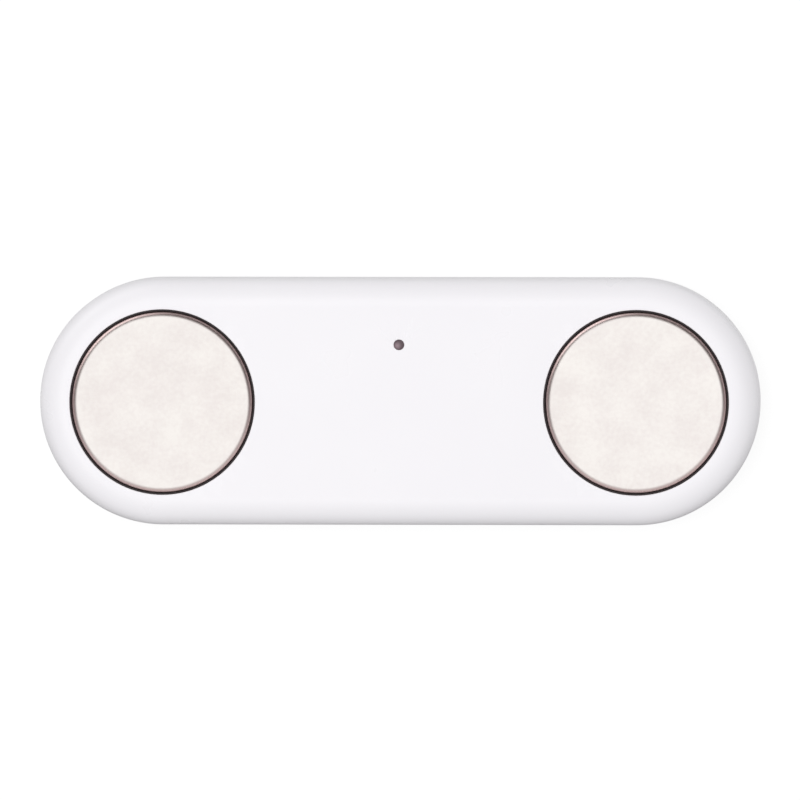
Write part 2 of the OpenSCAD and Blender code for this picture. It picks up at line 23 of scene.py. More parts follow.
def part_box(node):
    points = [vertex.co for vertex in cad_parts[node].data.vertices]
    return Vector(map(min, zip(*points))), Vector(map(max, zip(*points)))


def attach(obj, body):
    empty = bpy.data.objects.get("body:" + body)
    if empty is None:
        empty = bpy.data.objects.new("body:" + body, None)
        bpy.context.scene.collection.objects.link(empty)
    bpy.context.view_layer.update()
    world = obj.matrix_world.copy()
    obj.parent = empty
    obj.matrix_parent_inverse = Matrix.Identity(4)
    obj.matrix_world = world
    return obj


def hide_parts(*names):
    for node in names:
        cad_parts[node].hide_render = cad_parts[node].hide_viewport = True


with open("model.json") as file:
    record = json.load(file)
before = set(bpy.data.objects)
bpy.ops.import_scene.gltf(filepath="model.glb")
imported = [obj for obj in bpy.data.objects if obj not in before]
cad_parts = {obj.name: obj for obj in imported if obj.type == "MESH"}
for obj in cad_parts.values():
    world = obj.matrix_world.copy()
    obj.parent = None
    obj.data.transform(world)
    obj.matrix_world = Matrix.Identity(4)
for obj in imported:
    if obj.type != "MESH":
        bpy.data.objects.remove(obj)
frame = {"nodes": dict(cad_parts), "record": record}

LOG = logging.getLogger("monitor")

MM = 0.001
FULL_TURN = 2 * math.pi
# Points closer than this, in metres, are one point of a piece
WELD = 2e-6
# Faces that meet at more than this angle keep a crisp edge between them
CRISP_ANGLE = math.radians(32)
# The form of output of Blender's triangulation that has holes and bays filled too
ALL_TRIANGLES = 0

# A closed round section has this many points, and its last lies one step short of its first
SECTION_STEPS = 24
SECTION_END = 360 - 360 / SECTION_STEPS
# Nearly all of a noise's values lie between these
NOISE_SPAN = 0.3, 0.7
# The Mix node's sockets share their names, so they are told apart by number
SHARE, LEVEL_1, LEVEL_2, COLOUR_1, COLOUR_2 = 0, 2, 3, 6, 7
MIXED_LEVEL, MIXED_COLOUR = 0, 2

Pairs = Sequence[tuple[float, float]]
Place = tuple[float, float]
Tree = bpy.types.NodeTree
Socket = bpy.types.NodeSocket


# ---------------------------------------------------------------- shapes


def extent(node: str) -> tuple[np.ndarray, np.ndarray]:
    """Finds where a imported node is.

    Args:
        node: The node's name.

    Returns:
        Its lowest and highest corners, in millimetres.
    """
    low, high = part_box(node)
    return np.array(low) / MM, np.array(high) / MM


def arc(centre: tuple[float, float], radii: tuple[float, float], start: float, end: float,
        steps: int, power: float = 2.0) -> np.ndarray:
    """Points of a rounded corner: centre + radii * sign * |(cos t, sin t)| ** (2 / power).

    Args:
        centre: The corner's centre.
        radii: Its size across and up.
        start: First angle t, in degrees.
        end: Last angle t, in degrees.
        steps: Number of points.
        power: 2 is a circle, and more is a fuller corner that joins its neighbours more softly.

    Returns:
        The points, shape (steps, 2).
    """
    turn = np.radians(np.linspace(start, end, steps))
    unit = np.column_stack([np.cos(turn), np.sin(turn)])
    return np.array(centre) + np.array(radii) * np.sign(unit) * np.abs(unit) ** (2 / power)


@dataclass(frozen=True)
class Stadium:
    """A stadium path: two half circles joined by two straights.

    A point is middle + (radius - inset) * outward, where middle is the nearest point of the centre
    line. All rings have the same number of points, so rings at several insets join into a grid.
    The first points run along the lower straight, from left to right.

    Attributes:
        half_run: Half the length of a straight.
        radius: Radius of the half circles.
        arc_steps: Steps round one half circle.
        run_steps: Steps along one straight.
        stops: Places on the lower straight where the profile may step; each gets two points.
    """

    half_run: float
    radius: float
    arc_steps: int = 128
    run_steps: int = 24
    stops: tuple[float, ...] = ()

    def lower_places(self) -> np.ndarray:
        """Places of the points along the lower straight, from left to right."""
        even = np.linspace(-self.half_run, self.half_run, self.run_steps + 1)
        return np.sort(np.concatenate([even, self.stops, self.stops]))

    def middle_and_outward(self) -> tuple[np.ndarray, np.ndarray]:
        """Finds what each point is measured from.

        Returns:
            The nearest point of the centre line and the outward direction, both of shape (n, 2).
        """
        lower = self.lower_places()
        upper = np.linspace(self.half_run, -self.half_run, self.run_steps + 1)
        turn = np.linspace(-math.pi / 2, math.pi / 2, self.arc_steps + 1)[1:-1]
        places = np.concatenate([lower, np.full(turn.size, self.half_run), upper,
                                 np.full(turn.size, -self.half_run)])
        angles = np.concatenate([np.full(lower.size, -math.pi / 2), turn,
                                 np.full(upper.size, math.pi / 2), turn + math.pi])
        middle = np.column_stack([places, np.zeros(places.size)])
        return middle, np.column_stack([np.cos(angles), np.sin(angles)])

    def loft(self, profile: np.ndarray | Pairs) -> np.ndarray:
        """Carries a profile round the path.

        Args:
            profile: Pairs of (inset, height).

        Returns:
            One ring for each pair, shape (pairs, points, 3).
        """
        inset, height = np.asarray(profile, float).T
        middle, outward = self.middle_and_outward()
        flat = middle + (self.radius - inset)[:, None, None] * outward
        return np.concatenate([flat, np.broadcast_to(height[:, None, None], (*flat.shape[:2], 1))], 2)


def revolve(profile: np.ndarray | Pairs, centre: Sequence[float] = (0.0, 0.0),
            steps: int = 96) -> np.ndarray:
    """Turns a profile about an upright axis: (x, y) = centre + radius * (cos t, sin t).

    Args:
        profile: Pairs of (radius, height).
        centre: Where the axis stands.
        steps: Points round each ring.

    Returns:
        One ring for each pair, shape (pairs, steps, 3).
    """
    turn = np.linspace(0, FULL_TURN, steps, endpoint=False)
    return revolve_stepped([(r, z) for r, z in np.asarray(profile, float)], turn, centre)


def revolve_stepped(profile: Sequence[tuple[np.ndarray | float, float]], turn: np.ndarray,
                    centre: Sequence[float] = (0.0, 0.0)) -> np.ndarray:
    """Turns a profile whose radii may change with the angle t.

    Args:
        profile: Pairs of (radius, height), where a radius is one number or one for each angle.
        turn: The angles, in radians. An angle given twice makes a wall where a radius steps.
        centre: Where the axis stands.

    Returns:
        One ring for each pair, shape (pairs, angles, 3).
    """
    radius = np.stack([np.broadcast_to(np.asarray(r, float), turn.shape) for r, _ in profile])
    height = np.broadcast_to(np.array([z for _, z in profile], float)[:, None], radius.shape)
    return np.stack([centre[0] + radius * np.cos(turn), centre[1] + radius * np.sin(turn), height], 2)


def circle(radius: float, centre: Sequence[float], height: float, steps: int) -> np.ndarray:
    """One level ring of points, shape (steps, 3)."""
    return revolve([(radius, height)], centre, steps)[0]


def without_repeats(loop: np.ndarray) -> np.ndarray:
    """Drops each point of a closed loop that lies on the one before it, as a new loop."""
    gap = np.linalg.norm(loop - np.roll(loop, 1, 0), axis=1)
    return loop[gap > WELD / MM]


def is_inside(places: np.ndarray, starts: np.ndarray, ends: np.ndarray) -> np.ndarray:
    """Tells which places lie inside an outline and outside its holes.

    A place is inside where a line from it towards +X crosses an odd number of edges.

    Args:
        places: The places, shape (n, 2).
        starts: The first points of the edges, shape (m, 2).
        ends: Their last points.

    Returns:
        True or False for each place.
    """
    x, y = places.T[:, :, None]
    rise = ends[:, 1] - starts[:, 1]
    rise = np.where(rise == 0, 1, rise)
    crossing_x = starts[:, 0] + (y - starts[:, 1]) / rise * (ends[:, 0] - starts[:, 0])
    spans = (starts[:, 1] > y) != (ends[:, 1] > y)
    return (spans & (x < crossing_x)).sum(1) % 2 == 1


class Surface:
    """One closed surface, collected patch by patch in millimetres and then made into a piece."""

    def __init__(self) -> None:
        """Starts with no patches."""
        self._points: list[np.ndarray] = []
        self._faces: list[list[int]] = []
        self._count = 0

    def _take(self, points: np.ndarray) -> int:
        """Keeps points for the surface.

        Args:
            points: The points, shape (..., 3).

        Returns:
            The number of the first of them.
        """
        first = self._count
        self._points.append(points.reshape(-1, 3))
        self._count += self._points[-1].shape[0]
        return first

    def grid(self, rings: np.ndarray, ring_closed: bool = True, rows_closed: bool = False,
             gap_row: int | None = None, gap_columns: int = 0) -> None:
        """Joins rings of points with four-sided faces, each ring to the next.

        Args:
            rings: Points of shape (rows, columns, 3).
            ring_closed: Whether a ring's last point joins its first.
            rows_closed: Whether the last ring joins the first.
            gap_row: A row whose first faces are left out, because a flat face with a hole is there.
            gap_columns: How many of that row's faces are left out.
        """
        rows, columns = rings.shape[:2]
        index = self._take(rings) + np.arange(rows * columns).reshape(rows, columns)
        down = np.roll(index, -1, 0)
        quads = np.stack([index, np.roll(index, -1, 1), np.roll(down, -1, 1), down], 2)
        keep = np.ones((rows, columns), bool)
        keep[-1] = rows_closed
        keep[:, -1] &= ring_closed
        if gap_row is not None:
            keep[gap_row, :gap_columns] = False
        self._faces += quads[keep].tolist()

    def flat(self, edge: np.ndarray, holes: Iterable[np.ndarray] = ()) -> None:
        """Fills a flat face with triangles.

        Args:
            edge: Its outline, shape (n, 3).
            holes: The outline of each hole in it.
        """
        loops = [without_repeats(loop) for loop in (edge, *holes)]
        points = np.concatenate(loops)
        first = self._take(points)
        ends = np.cumsum([loop.shape[0] for loop in loops])
        index = np.arange(ends[-1])
        follower = index + 1
        follower[ends - 1] = [0, *ends[:-1]]
        # The face is worked out in the two directions in which it spreads
        sketch = points[:, np.sort(np.argsort(np.ptp(points, 0))[1:])]
        edges = np.column_stack([index, follower]).tolist()
        _, _, faces, sources, _, _ = delaunay_2d_cdt([Vector(point) for point in sketch], edges, [],
                                                     ALL_TRIANGLES, WELD)
        source = np.array([group[0] for group in sources])
        triangles = source[np.array(faces)]
        inside = is_inside(sketch[triangles].mean(1), sketch, sketch[follower])
        self._faces += (first + triangles[inside]).tolist()

    def placed(self, place: np.ndarray) -> None:
        """Turns and shifts all the points so far by a 4 by 4 matrix."""
        self._points = [points @ place[:3, :3].T + place[:3, 3] for points in self._points]

    def piece(self, name: str) -> bpy.types.Object:
        """Welds the patches, turns the faces outwards and makes the piece.

        Args:
            name: The piece's name.

        Returns:
            The new object, at the origin, with its place in its mesh.
        """
        mesh = bpy.data.meshes.new(name)
        mesh.from_pydata(np.concatenate(self._points) * MM, [], self._faces)
        solid = bmesh.new()
        solid.from_mesh(mesh)
        bmesh.ops.remove_doubles(solid, verts=solid.verts, dist=WELD)
        bmesh.ops.recalc_face_normals(solid, faces=solid.faces)
        if any(not edge.is_manifold for edge in solid.edges):
            LOG.warning("%s is not a closed surface", name)
        solid.to_mesh(mesh)
        solid.free()
        mesh.polygons.foreach_set("use_smooth", np.ones(len(mesh.polygons), bool))
        mesh.set_sharp_from_angle(angle=CRISP_ANGLE)
        made = bpy.data.objects.new(name, mesh)
        bpy.context.scene.collection.objects.link(made)
        weights = made.modifiers.new("flat faces stay flat", "WEIGHTED_NORMAL")
        weights.keep_sharp = True
        return made


# ---------------------------------------------------------------- finishes


def linear(hex_colour: str) -> tuple[float, float, float, float]:
    """Turns an sRGB colour into the linear values that a shader takes.

    Below 0.04045 a value is divided by 12.92, and above it is ((value + 0.055) / 1.055) ** 2.4.

    Args:
        hex_colour: The colour, such as "#F6F4F7".

    Returns:
        Red, green, blue and an alpha of 1.
    """
    srgb = np.array([int(hex_colour[i:i + 2], 16) for i in (1, 3, 5)]) / 255
    low, high = srgb / 12.92, ((srgb + 0.055) / 1.055) ** 2.4
    return (*np.where(srgb <= 0.04045, low, high).tolist(), 1.0)


def add_node(tree: Tree, kind: str, settings: dict | None = None,
             links: dict | None = None) -> bpy.types.ShaderNode:
    """Adds one node to a shader.

    Args:
        tree: The material's or world's node tree.
        kind: The node's type.
        settings: Values by name. A name that is an input's sets that input, and any other the node.
        links: Output sockets by the name or number of the input that they go to.

    Returns:
        The new node.
    """
    node = tree.nodes.new(kind)
    for name, value in (settings or {}).items():
        if isinstance(name, str) and hasattr(node, name):
            setattr(node, name, value)
        else:
            node.inputs[name].default_value = value
    for name, output in (links or {}).items():
        tree.links.new(output, node.inputs[name])
    return node


@dataclass(frozen=True)
class Finish:
    """A finish with a faint cloud of two colours, an uneven gloss and a fine grain.

    Attributes:
        name: What the real finish is called.
        colour: Its main colour.
        cloud_colour: The colour that it drifts towards.
        cloud_mm: Size of the drifts.
        grain_mm: Size of the grain.
        grain_depth_mm: Depth of the grain.
        roughness: Middle of the roughness.
        roughness_spread: How far the roughness drifts to either side.
        shader: Values for the surface shader's own sockets.
    """

    name: str
    colour: str
    cloud_colour: str
    cloud_mm: float = 6.0
    grain_mm: float = 0.25
    grain_depth_mm: float = 0.002
    roughness: float = 0.4
    roughness_spread: float = 0.04
    shader: dict = field(default_factory=dict)

    def material(self) -> bpy.types.Material:
        """Makes the material.

        Returns:
            The material, with one shader fed by the three patterns.
        """
        made = bpy.data.materials.new(self.name)
        made.use_nodes = True
        made.diffuse_color = linear(self.colour)
        tree = made.node_tree
        tree.nodes.clear()
        place = add_node(tree, "ShaderNodeTexCoord").outputs["Object"]
        surface = add_node(tree, "ShaderNodeBsdfPrincipled", self.shader, {
            "Base Color": self.colours(tree, place),
            "Roughness": self.gloss(tree, place),
            "Normal": self.relief(tree, place),
        })
        add_node(tree, "ShaderNodeOutputMaterial", links={"Surface": surface.outputs["BSDF"]})
        return made

    def colours(self, tree: Tree, place: Socket) -> Socket:
        """The colour, which drifts between the two colours.

        Args:
            tree: The material's node tree.
            place: The place on the piece.

        Returns:
            The colour.
        """
        cloud = add_node(tree, "ShaderNodeTexNoise",
                         {"Scale": 1 / (self.cloud_mm * MM), "Detail": 3.0}, {"Vector": place})
        made = add_node(tree, "ShaderNodeMix",
                        {"data_type": "RGBA", COLOUR_1: linear(self.colour),
                         COLOUR_2: linear(self.cloud_colour)},
                        {SHARE: cloud.outputs["Fac"]})
        return made.outputs[MIXED_COLOUR]

    def gloss(self, tree: Tree, place: Socket) -> Socket:
        """The roughness, which drifts to either side of its middle.

        Args:
            tree: The material's node tree.
            place: The place on the piece.

        Returns:
            The roughness.
        """
        drift = add_node(tree, "ShaderNodeTexNoise",
                         {"Scale": 1 / (self.cloud_mm / 2 * MM), "Detail": 3.0}, {"Vector": place})
        made = add_node(tree, "ShaderNodeMapRange",
                        {"From Min": NOISE_SPAN[0], "From Max": NOISE_SPAN[1],
                         "To Min": self.roughness - self.roughness_spread,
                         "To Max": self.roughness + self.roughness_spread},
                        {"Value": drift.outputs["Fac"]})
        return made.outputs["Result"]

    def relief(self, tree: Tree, place: Socket) -> Socket:
        """The grain, as bumps grain_depth_mm deep.

        Args:
            tree: The material's node tree.
            place: The place on the piece.

        Returns:
            The normal.
        """
        grain = add_node(tree, "ShaderNodeTexNoise",
                         {"Scale": 1 / (self.grain_mm * MM), "Detail": 2.0}, {"Vector": place})
        made = add_node(tree, "ShaderNodeBump", {"Distance": self.grain_depth_mm * MM},
                        {"Height": grain.outputs["Fac"]})
        return made.outputs["Normal"]


@dataclass(frozen=True)
class BlastedSteel(Finish):
    """Stainless sheet blasted with fine glass beads: a pale satin metal with a cloudy sheen.

    Attributes:
        dent_mm: Size of the dents that the beads leave, drawn coarse enough to show.
        dent_weight: Strength of their colour beside that of the clouds.
        sheen_span: Levels of both together at which each of the two colours is full.
        rim_reflection_colour: A warmer, darker tint on the rolled edge, a painted reflection of a dim,
            warm room.
        rim_reflection_mm: Depth below the face at which that painted reflection is full.
    """

    dent_mm: float = 0.3
    dent_weight: float = 0.7
    sheen_span: tuple[float, float] = (0.65, 1.05)
    rim_reflection_colour: str = "#EED5D2"
    rim_reflection_mm: float = 0.14

    def colours(self, tree: Tree, place: Socket) -> Socket:
        """Soft clouds broken up by the beads' dents, with a warmer, darker painted reflection on the
        rolled edge below the face.

        Args:
            tree: The material's node tree.
            place: The place on the piece.

        Returns:
            The colour.
        """
        clouds = add_node(tree, "ShaderNodeTexNoise",
                         {"Scale": 1 / (self.cloud_mm * MM), "Detail": 4.0}, {"Vector": place})
        # A dent and the ridge beside it make one patch of colour
        dents = add_node(tree, "ShaderNodeTexNoise",
                         {"Scale": 1 / (self.dent_mm * 2 * MM), "Detail": 2.0}, {"Vector": place})
        both = add_node(tree, "ShaderNodeMath", {"operation": "MULTIPLY_ADD", 1: self.dent_weight},
                        {0: dents.outputs["Fac"], 2: clouds.outputs["Fac"]})
        share = add_node(tree, "ShaderNodeMapRange",
                         {"From Min": self.sheen_span[0], "From Max": self.sheen_span[1]},
                         {"Value": both.outputs["Value"]})
        face = add_node(tree, "ShaderNodeMix",
                        {"data_type": "RGBA", COLOUR_1: linear(self.colour),
                         COLOUR_2: linear(self.cloud_colour)},
                        {SHARE: share.outputs["Result"]})
        # The rolled edge below the face takes a warmer, darker colour: a painted reflection of the dim
        # room
        top = extent("right_electrode")[1][2]
        height = add_node(tree, "ShaderNodeSeparateXYZ", links={"Vector": place}).outputs["Z"]
        edge = add_node(tree, "ShaderNodeMapRange",
                        {"From Min": top * MM, "From Max": (top - self.rim_reflection_mm) * MM}, {"Value": height})
        made = add_node(tree, "ShaderNodeMix", {"data_type": "RGBA", COLOUR_2: linear(self.rim_reflection_colour)},
                        {SHARE: edge.outputs["Result"], COLOUR_1: face.outputs[MIXED_COLOUR]})
        return made.outputs[MIXED_COLOUR]

    def relief(self, tree: Tree, place: Socket) -> Socket:
        """Round dents that overlap, as beads leave them.

        Args:
            tree: The material's node tree.
            place: The place on the piece.

        Returns:
            The normal.
        """
        dents = add_node(tree, "ShaderNodeTexVoronoi", {"Scale": 1 / (self.dent_mm * MM)},
                         {"Vector": place})
        made = add_node(tree, "ShaderNodeBump", {"Distance": self.grain_depth_mm * MM},
                        {"Height": dents.outputs["Distance"]})
        return made.outputs["Normal"]


@dataclass(frozen=True)
class SmokedWindow(Finish):
    """Smoked clear plastic, with a painted highlight: a paler patch off its middle towards the lower
    left, where the light falls.

    Attributes:
        painted_highlight_colour: Colour of the painted highlight.
        painted_highlight_shift_mm: Place of the painted highlight from the window's middle.
        painted_highlight_mm: Radius of the painted highlight.
    """

    painted_highlight_colour: str = "#8D7880"
    painted_highlight_shift_mm: tuple[float, float] = (-0.25, -0.15)
    painted_highlight_mm: float = 0.75

    def colours(self, tree: Tree, place: Socket) -> Socket:
        """The smoke tint, which gives way to the painted highlight near its middle.

        Args:
            tree: The material's node tree.
            place: The place on the piece.

        Returns:
            The colour.
        """
        low, high = extent("light_guide")
        # The paler patch is a painted highlight, set off the window's middle towards the lower left
        across, up = [(low[i] + high[i]) / 2 + self.painted_highlight_shift_mm[i] for i in (0, 1)]
        away = add_node(tree, "ShaderNodeVectorMath",
                        {"operation": "DISTANCE", 1: [across * MM, up * MM, high[2] * MM]}, {0: place})
        share = add_node(tree, "ShaderNodeMapRange",
                         {"interpolation_type": "SMOOTHSTEP", "From Min": self.painted_highlight_mm * MM,
                          "From Max": 0.0},
                         {"Value": away.outputs["Value"]})
        made = add_node(tree, "ShaderNodeMix", {"data_type": "RGBA", COLOUR_2: linear(self.painted_highlight_colour)},
                        {SHARE: share.outputs["Result"], COLOUR_1: super().colours(tree, place)})
        return made.outputs[MIXED_COLOUR]


@dataclass(frozen=True)
class SolderMask(Finish):
    """Green lacquer over a glass laminate, with the copper tracks showing through as paler lines.

    Attributes:
        track_mm: Spacing of the tracks.
        track_share: Width of a track, as a share of the spacing.
        track_run: Length of a straight stretch, in spacings.
        track_colour: Colour of the lacquer over copper.
    """

    track_mm: float = 1.2
    track_share: float = 0.12
    track_run: float = 4.0
    track_colour: str = "#2E7A4E"

    def colours(self, tree: Tree, place: Socket) -> Socket:
        """Straight tracks between blocks of the lacquer's two greens.

        Args:
            tree: The material's node tree.
            place: The place on the piece.

        Returns:
            The colour.
        """
        blocks = add_node(tree, "ShaderNodeTexBrick",
                          {"Scale": 1 / (self.track_mm * MM), "Mortar Size": self.track_share,
                           "Brick Width": self.track_run, "Row Height": 1.0,
                           "Color1": linear(self.colour), "Color2": linear(self.cloud_colour),
                           "Mortar": linear(self.track_colour)},
                          {"Vector": place})
        return blocks.outputs["Color"]


class FinishName(Enum):
    """The finishes, by what they are on, each with the record's material slot that it stands for."""

    SHELL = "shell_plastic"
    ELECTRODE = "electrode_steel"
    RUBBER = "seal_rubber"
    WINDOW = "smoked_clear_plastic"
    SCREW = "fastener_steel"
    FOAM = "adhesive_foam"
    BRONZE = "contact_bronze"
    LAMP = "lamp_body"
    BOARD = "board_laminate"
    EPOXY = "dark_plastic"
    COVER = "plated_cover"
    CERAMIC = "ceramic"
    CELL = "cell_can"


FINISHES = {
    # Injection-moulded white ABS: a fine spark-eroded mould gives a soft, slightly cool gloss
    FinishName.SHELL: Finish("moulded_white_abs", "#F7F5F8", "#F4F2F6", cloud_mm=22, grain_mm=0.18,
                             grain_depth_mm=0.0012, roughness=0.3, roughness_spread=0.03,
                             shader={"IOR": 1.53}),
    # Drawn stainless cap, blasted with glass beads: warm and pale, with faint clouds, and a warmer,
    # darker painted reflection on its rolled edge
    FinishName.ELECTRODE: BlastedSteel("bead_blasted_stainless", "#FDF8F4", "#F6EFEC", cloud_mm=5,
                                       grain_depth_mm=0.004, roughness=0.36, roughness_spread=0.01,
                                       shader={"Metallic": 1.0}),
    # Moulded silicone: near black with a dull bloom
    FinishName.RUBBER: Finish("moulded_black_silicone", "#363031", "#352E2F", cloud_mm=3, roughness=0.5,
                              shader={"IOR": 1.41}),
    # Polished polycarbonate with a smoke tint, dark until the lamp behind it is lit, and a painted
    # highlight off its middle
    FinishName.WINDOW: SmokedWindow("smoked_polycarbonate", "#4B4145", "#5E434D", cloud_mm=0.8,
                                    grain_depth_mm=0.0004, roughness=0.2, roughness_spread=0.02,
                                    shader={"IOR": 1.58}),
    # Nickel-plated steel screws: a bright, slightly yellow plate
    FinishName.SCREW: Finish("nickel_plated_steel", "#C4BFB6", "#A9A49B", cloud_mm=0.9, roughness=0.27,
                             grain_mm=0.1, shader={"Metallic": 1.0}),
    # Die-cut polyethylene foam: chalky, with its cells just showing
    FinishName.FOAM: Finish("adhesive_foam", "#E9E7E0", "#DAD7CE", cloud_mm=0.7, grain_mm=0.35,
                            grain_depth_mm=0.03, roughness=0.85, shader={"IOR": 1.45}),
    # Rolled phosphor bronze strip: a warm metal with a rolled sheen
    FinishName.BRONZE: Finish("phosphor_bronze_strip", "#CDA262", "#B98C4F", cloud_mm=1.5, roughness=0.3,
                              shader={"Metallic": 1.0}),
    # White lamp body with a milky lens
    FinishName.LAMP: Finish("milky_lamp_resin", "#ECE7D6", "#F6F2E4", cloud_mm=0.5, roughness=0.25,
                            shader={"IOR": 1.5}),
    # Green lacquer over glass laminate
    FinishName.BOARD: SolderMask("green_solder_mask", "#1E5C3B", "#1A5235", roughness=0.32,
                                 shader={"IOR": 1.5}),
    # Transfer-moulded epoxy and glass-filled nylon: black with a sandy face
    FinishName.EPOXY: Finish("moulded_black_epoxy", "#242427", "#2D2D30", cloud_mm=1, grain_mm=0.12,
                             grain_depth_mm=0.004, roughness=0.58, shader={"IOR": 1.55}),
    # Tin-plated steel covers: a pale grey metal with soft crystals
    FinishName.COVER: Finish("tin_plated_steel", "#C6C8CA", "#B2B5B8", cloud_mm=2.2, roughness=0.33,
                             shader={"Metallic": 1.0}),
    # Fired ceramic: matt and biscuit coloured
    FinishName.CERAMIC: Finish("fired_ceramic", "#B7A684", "#A69574", cloud_mm=0.8, roughness=0.5,
                               shader={"IOR": 1.7}),
    # Nickel-plated cell can: brighter than the covers
    FinishName.CELL: Finish("nickel_plated_can", "#D2D2D0", "#C2C2C2", cloud_mm=5, roughness=0.24,
                            shader={"Metallic": 1.0}),
}


class Workshop:
    """Makes each finish once, and hands pieces over to the bodies that they ride on."""

    def __init__(self) -> None:
        """Makes the materials."""
        self.materials = {name: finish.material() for name, finish in FINISHES.items()}

    def fit(self, piece: bpy.types.Object, finish: FinishName, body: str, *nodes: str) -> None:
        """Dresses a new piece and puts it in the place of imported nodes.

        Args:
            piece: The new piece.
            finish: What it is finished in.
            body: The body that it rides on.
            nodes: The nodes that it stands for.
        """
        piece.data.materials.append(self.materials[finish])
        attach(piece, body)
        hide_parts(*nodes)
        LOG.info("%s: %d faces, on %s", piece.name, len(piece.data.polygons), body)

    def fit_rings(self, name: str, rings: np.ndarray, finish: FinishName, body: str, node: str,
                  rows_closed: bool = False) -> None:
        """Makes and fits a piece that is one grid of points.

        Args:
            name: The piece's name.
            rings: Its points, shape (rows, columns, 3).
            finish: What it is finished in.
            body: The body that it rides on.
            node: The node that it stands for.
            rows_closed: Whether the last ring joins the first.
        """
        surface = Surface()
        surface.grid(rings, rows_closed=rows_closed)
        self.fit(surface.piece(name), finish, body, node)

    def dress_inside(self) -> None:
        """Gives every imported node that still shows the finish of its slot."""
        for part in frame["record"]["subparts"]:
            node = frame["nodes"][part["node"]]
            if node.hide_render:
                continue
            node.data.materials.clear()
            node.data.materials.append(self.materials[FinishName(part["material_slot"])])
            LOG.info("%s: packed solid, %s", node.name, part["material_slot"])


# ---------------------------------------------------------------- sizes that pieces share


@dataclass(frozen=True)
class CaseSizes:
    """Sizes of the case in millimetres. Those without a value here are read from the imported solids.

    Attributes:
        length: Length of the case.
        width: Width of the case.
        face_z: Height of the face.
        parting_z: Height of the joint between the shells.
        electrode_x: Distance of an electrode from the middle.
        electrode_r: Radius of an electrode.
        pocket_z: Height of a pocket's floor.
        door_r: Radius of the door's plate.
        door_z: Height of the door's outer face.
        screw_x: Distance of a case screw from the middle, along the case.
        screw_y: Its distance from the middle, across the case.
        wall: Thickness of the shells.
        face_edge: Radius of the edge round the face.
        back_edge: Radius of the edge round the back.
        seal_r: Inner radius of an electrode pocket.
        pad_z: Height of the underside of the thickened face below a pocket.
        stud_hole_r: Radius of the hole for an electrode's stud.
        boss_meet_z: Height at which the shells' screw bosses meet.
        screw_r: Radius of a case screw's thread.
        screw_head_r: Radius of its head.
        seat_gap: Gap between faces that seat on each other.
        snug_gap: Play of a screw in its pilot hole, and of a pressed-in ring.
        loose_gap: Gap round what drops in or moves.
    """

    length: float
    width: float
    face_z: float
    parting_z: float
    electrode_x: float
    electrode_r: float
    pocket_z: float
    door_r: float
    door_z: float
    screw_x: float
    screw_y: float
    wall: float = 1.5
    face_edge: float = 4.0
    back_edge: float = 3.0
    seal_r: float = 13.5
    pad_z: float = 8.7
    stud_hole_r: float = 1.5
    boss_meet_z: float = 4.2
    screw_r: float = 0.95
    screw_head_r: float = 1.6
    seat_gap: float = 0.05
    snug_gap: float = 0.03
    loose_gap: float = 0.3

    @classmethod
    def from_frame(cls) -> "CaseSizes":
        """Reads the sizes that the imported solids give.

        Returns:
            All the sizes.
        """
        shell_low, shell_high = extent("front_shell")
        cap_low, cap_high = extent("right_electrode")
        seal_low, _ = extent("right_electrode_pad")
        door_low, door_high = extent("battery_door")
        _, screws_high = extent("case_screws")
        return cls(
            length=shell_high[0] - shell_low[0],
            width=shell_high[1] - shell_low[1],
            face_z=shell_high[2],
            parting_z=shell_low[2],
            electrode_x=(cap_low[0] + cap_high[0]) / 2,
            electrode_r=(cap_high[0] - cap_low[0]) / 2,
            pocket_z=seal_low[2],
            door_r=(door_high[0] - door_low[0]) / 2,
            door_z=door_low[2],
            screw_x=screws_high[0] - cls.screw_head_r,
            screw_y=screws_high[1] - cls.screw_head_r,
        )

    @property
    def outline(self) -> Stadium:
        """The case's outline."""
        return Stadium((self.length - self.width) / 2, self.width / 2)

    @property
    def ends(self) -> tuple[Place, ...]:
        """The centres of the two round ends, which are the electrodes' centres."""
        return (-self.electrode_x, 0.0), (self.electrode_x, 0.0)

    @property
    def screws(self) -> tuple[Place, ...]:
        """The places of the four case screws."""
        return tuple((sx * self.screw_x, sy * self.screw_y) for sx in (-1, 1) for sy in (-1, 1))


@dataclass(frozen=True)
class ButtonSizes:
    """Sizes of the side button in millimetres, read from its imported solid.

    Attributes:
        x: Its distance from the middle of the case.
        y: Where its outer face lies.
        z: The height of its centre.
        half_run: Half the straight part of its outline.
        radius: Half its height.
        end_y: Where the shank that meets the switch ends.
        flange: How far its flange stands out round it.
        flange_t: Thickness of the flange.
        depth: Distance from its outer face to its flange.
        gap: Gap round it in the wall.
        shank: Half width and half height of the shank.
    """

    x: float
    y: float
    z: float
    half_run: float
    radius: float
    end_y: float
    flange: float = 0.4
    flange_t: float = 0.7
    depth: float = 1.45
    gap: float = 0.15
    shank: tuple[float, float] = (1.1, 0.45)

    @classmethod
    def from_frame(cls) -> "ButtonSizes":
        """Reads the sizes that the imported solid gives.

        Returns:
            All the sizes.
        """
        low, high = extent("power_button")
        radius = (high[2] - low[2]) / 2 - cls.flange
        return cls(x=(low[0] + high[0]) / 2, y=low[1], z=(low[2] + high[2]) / 2,
                   half_run=(high[0] - low[0]) / 2 - cls.flange - radius, radius=radius, end_y=high[1])

    def place(self, y: float) -> np.ndarray:
        """Stands a level stadium up in the wall: height 0 goes to y, and up goes inwards.

        Args:
            y: Where height 0 goes.

        Returns:
            The matrix, 4 by 4.
        """
        place = np.eye(4)
        place[:3, :3] = [[1, 0, 0], [0, 0, 1], [0, -1, 0]]
        place[:3, 3] = self.x, y, self.z
        return place


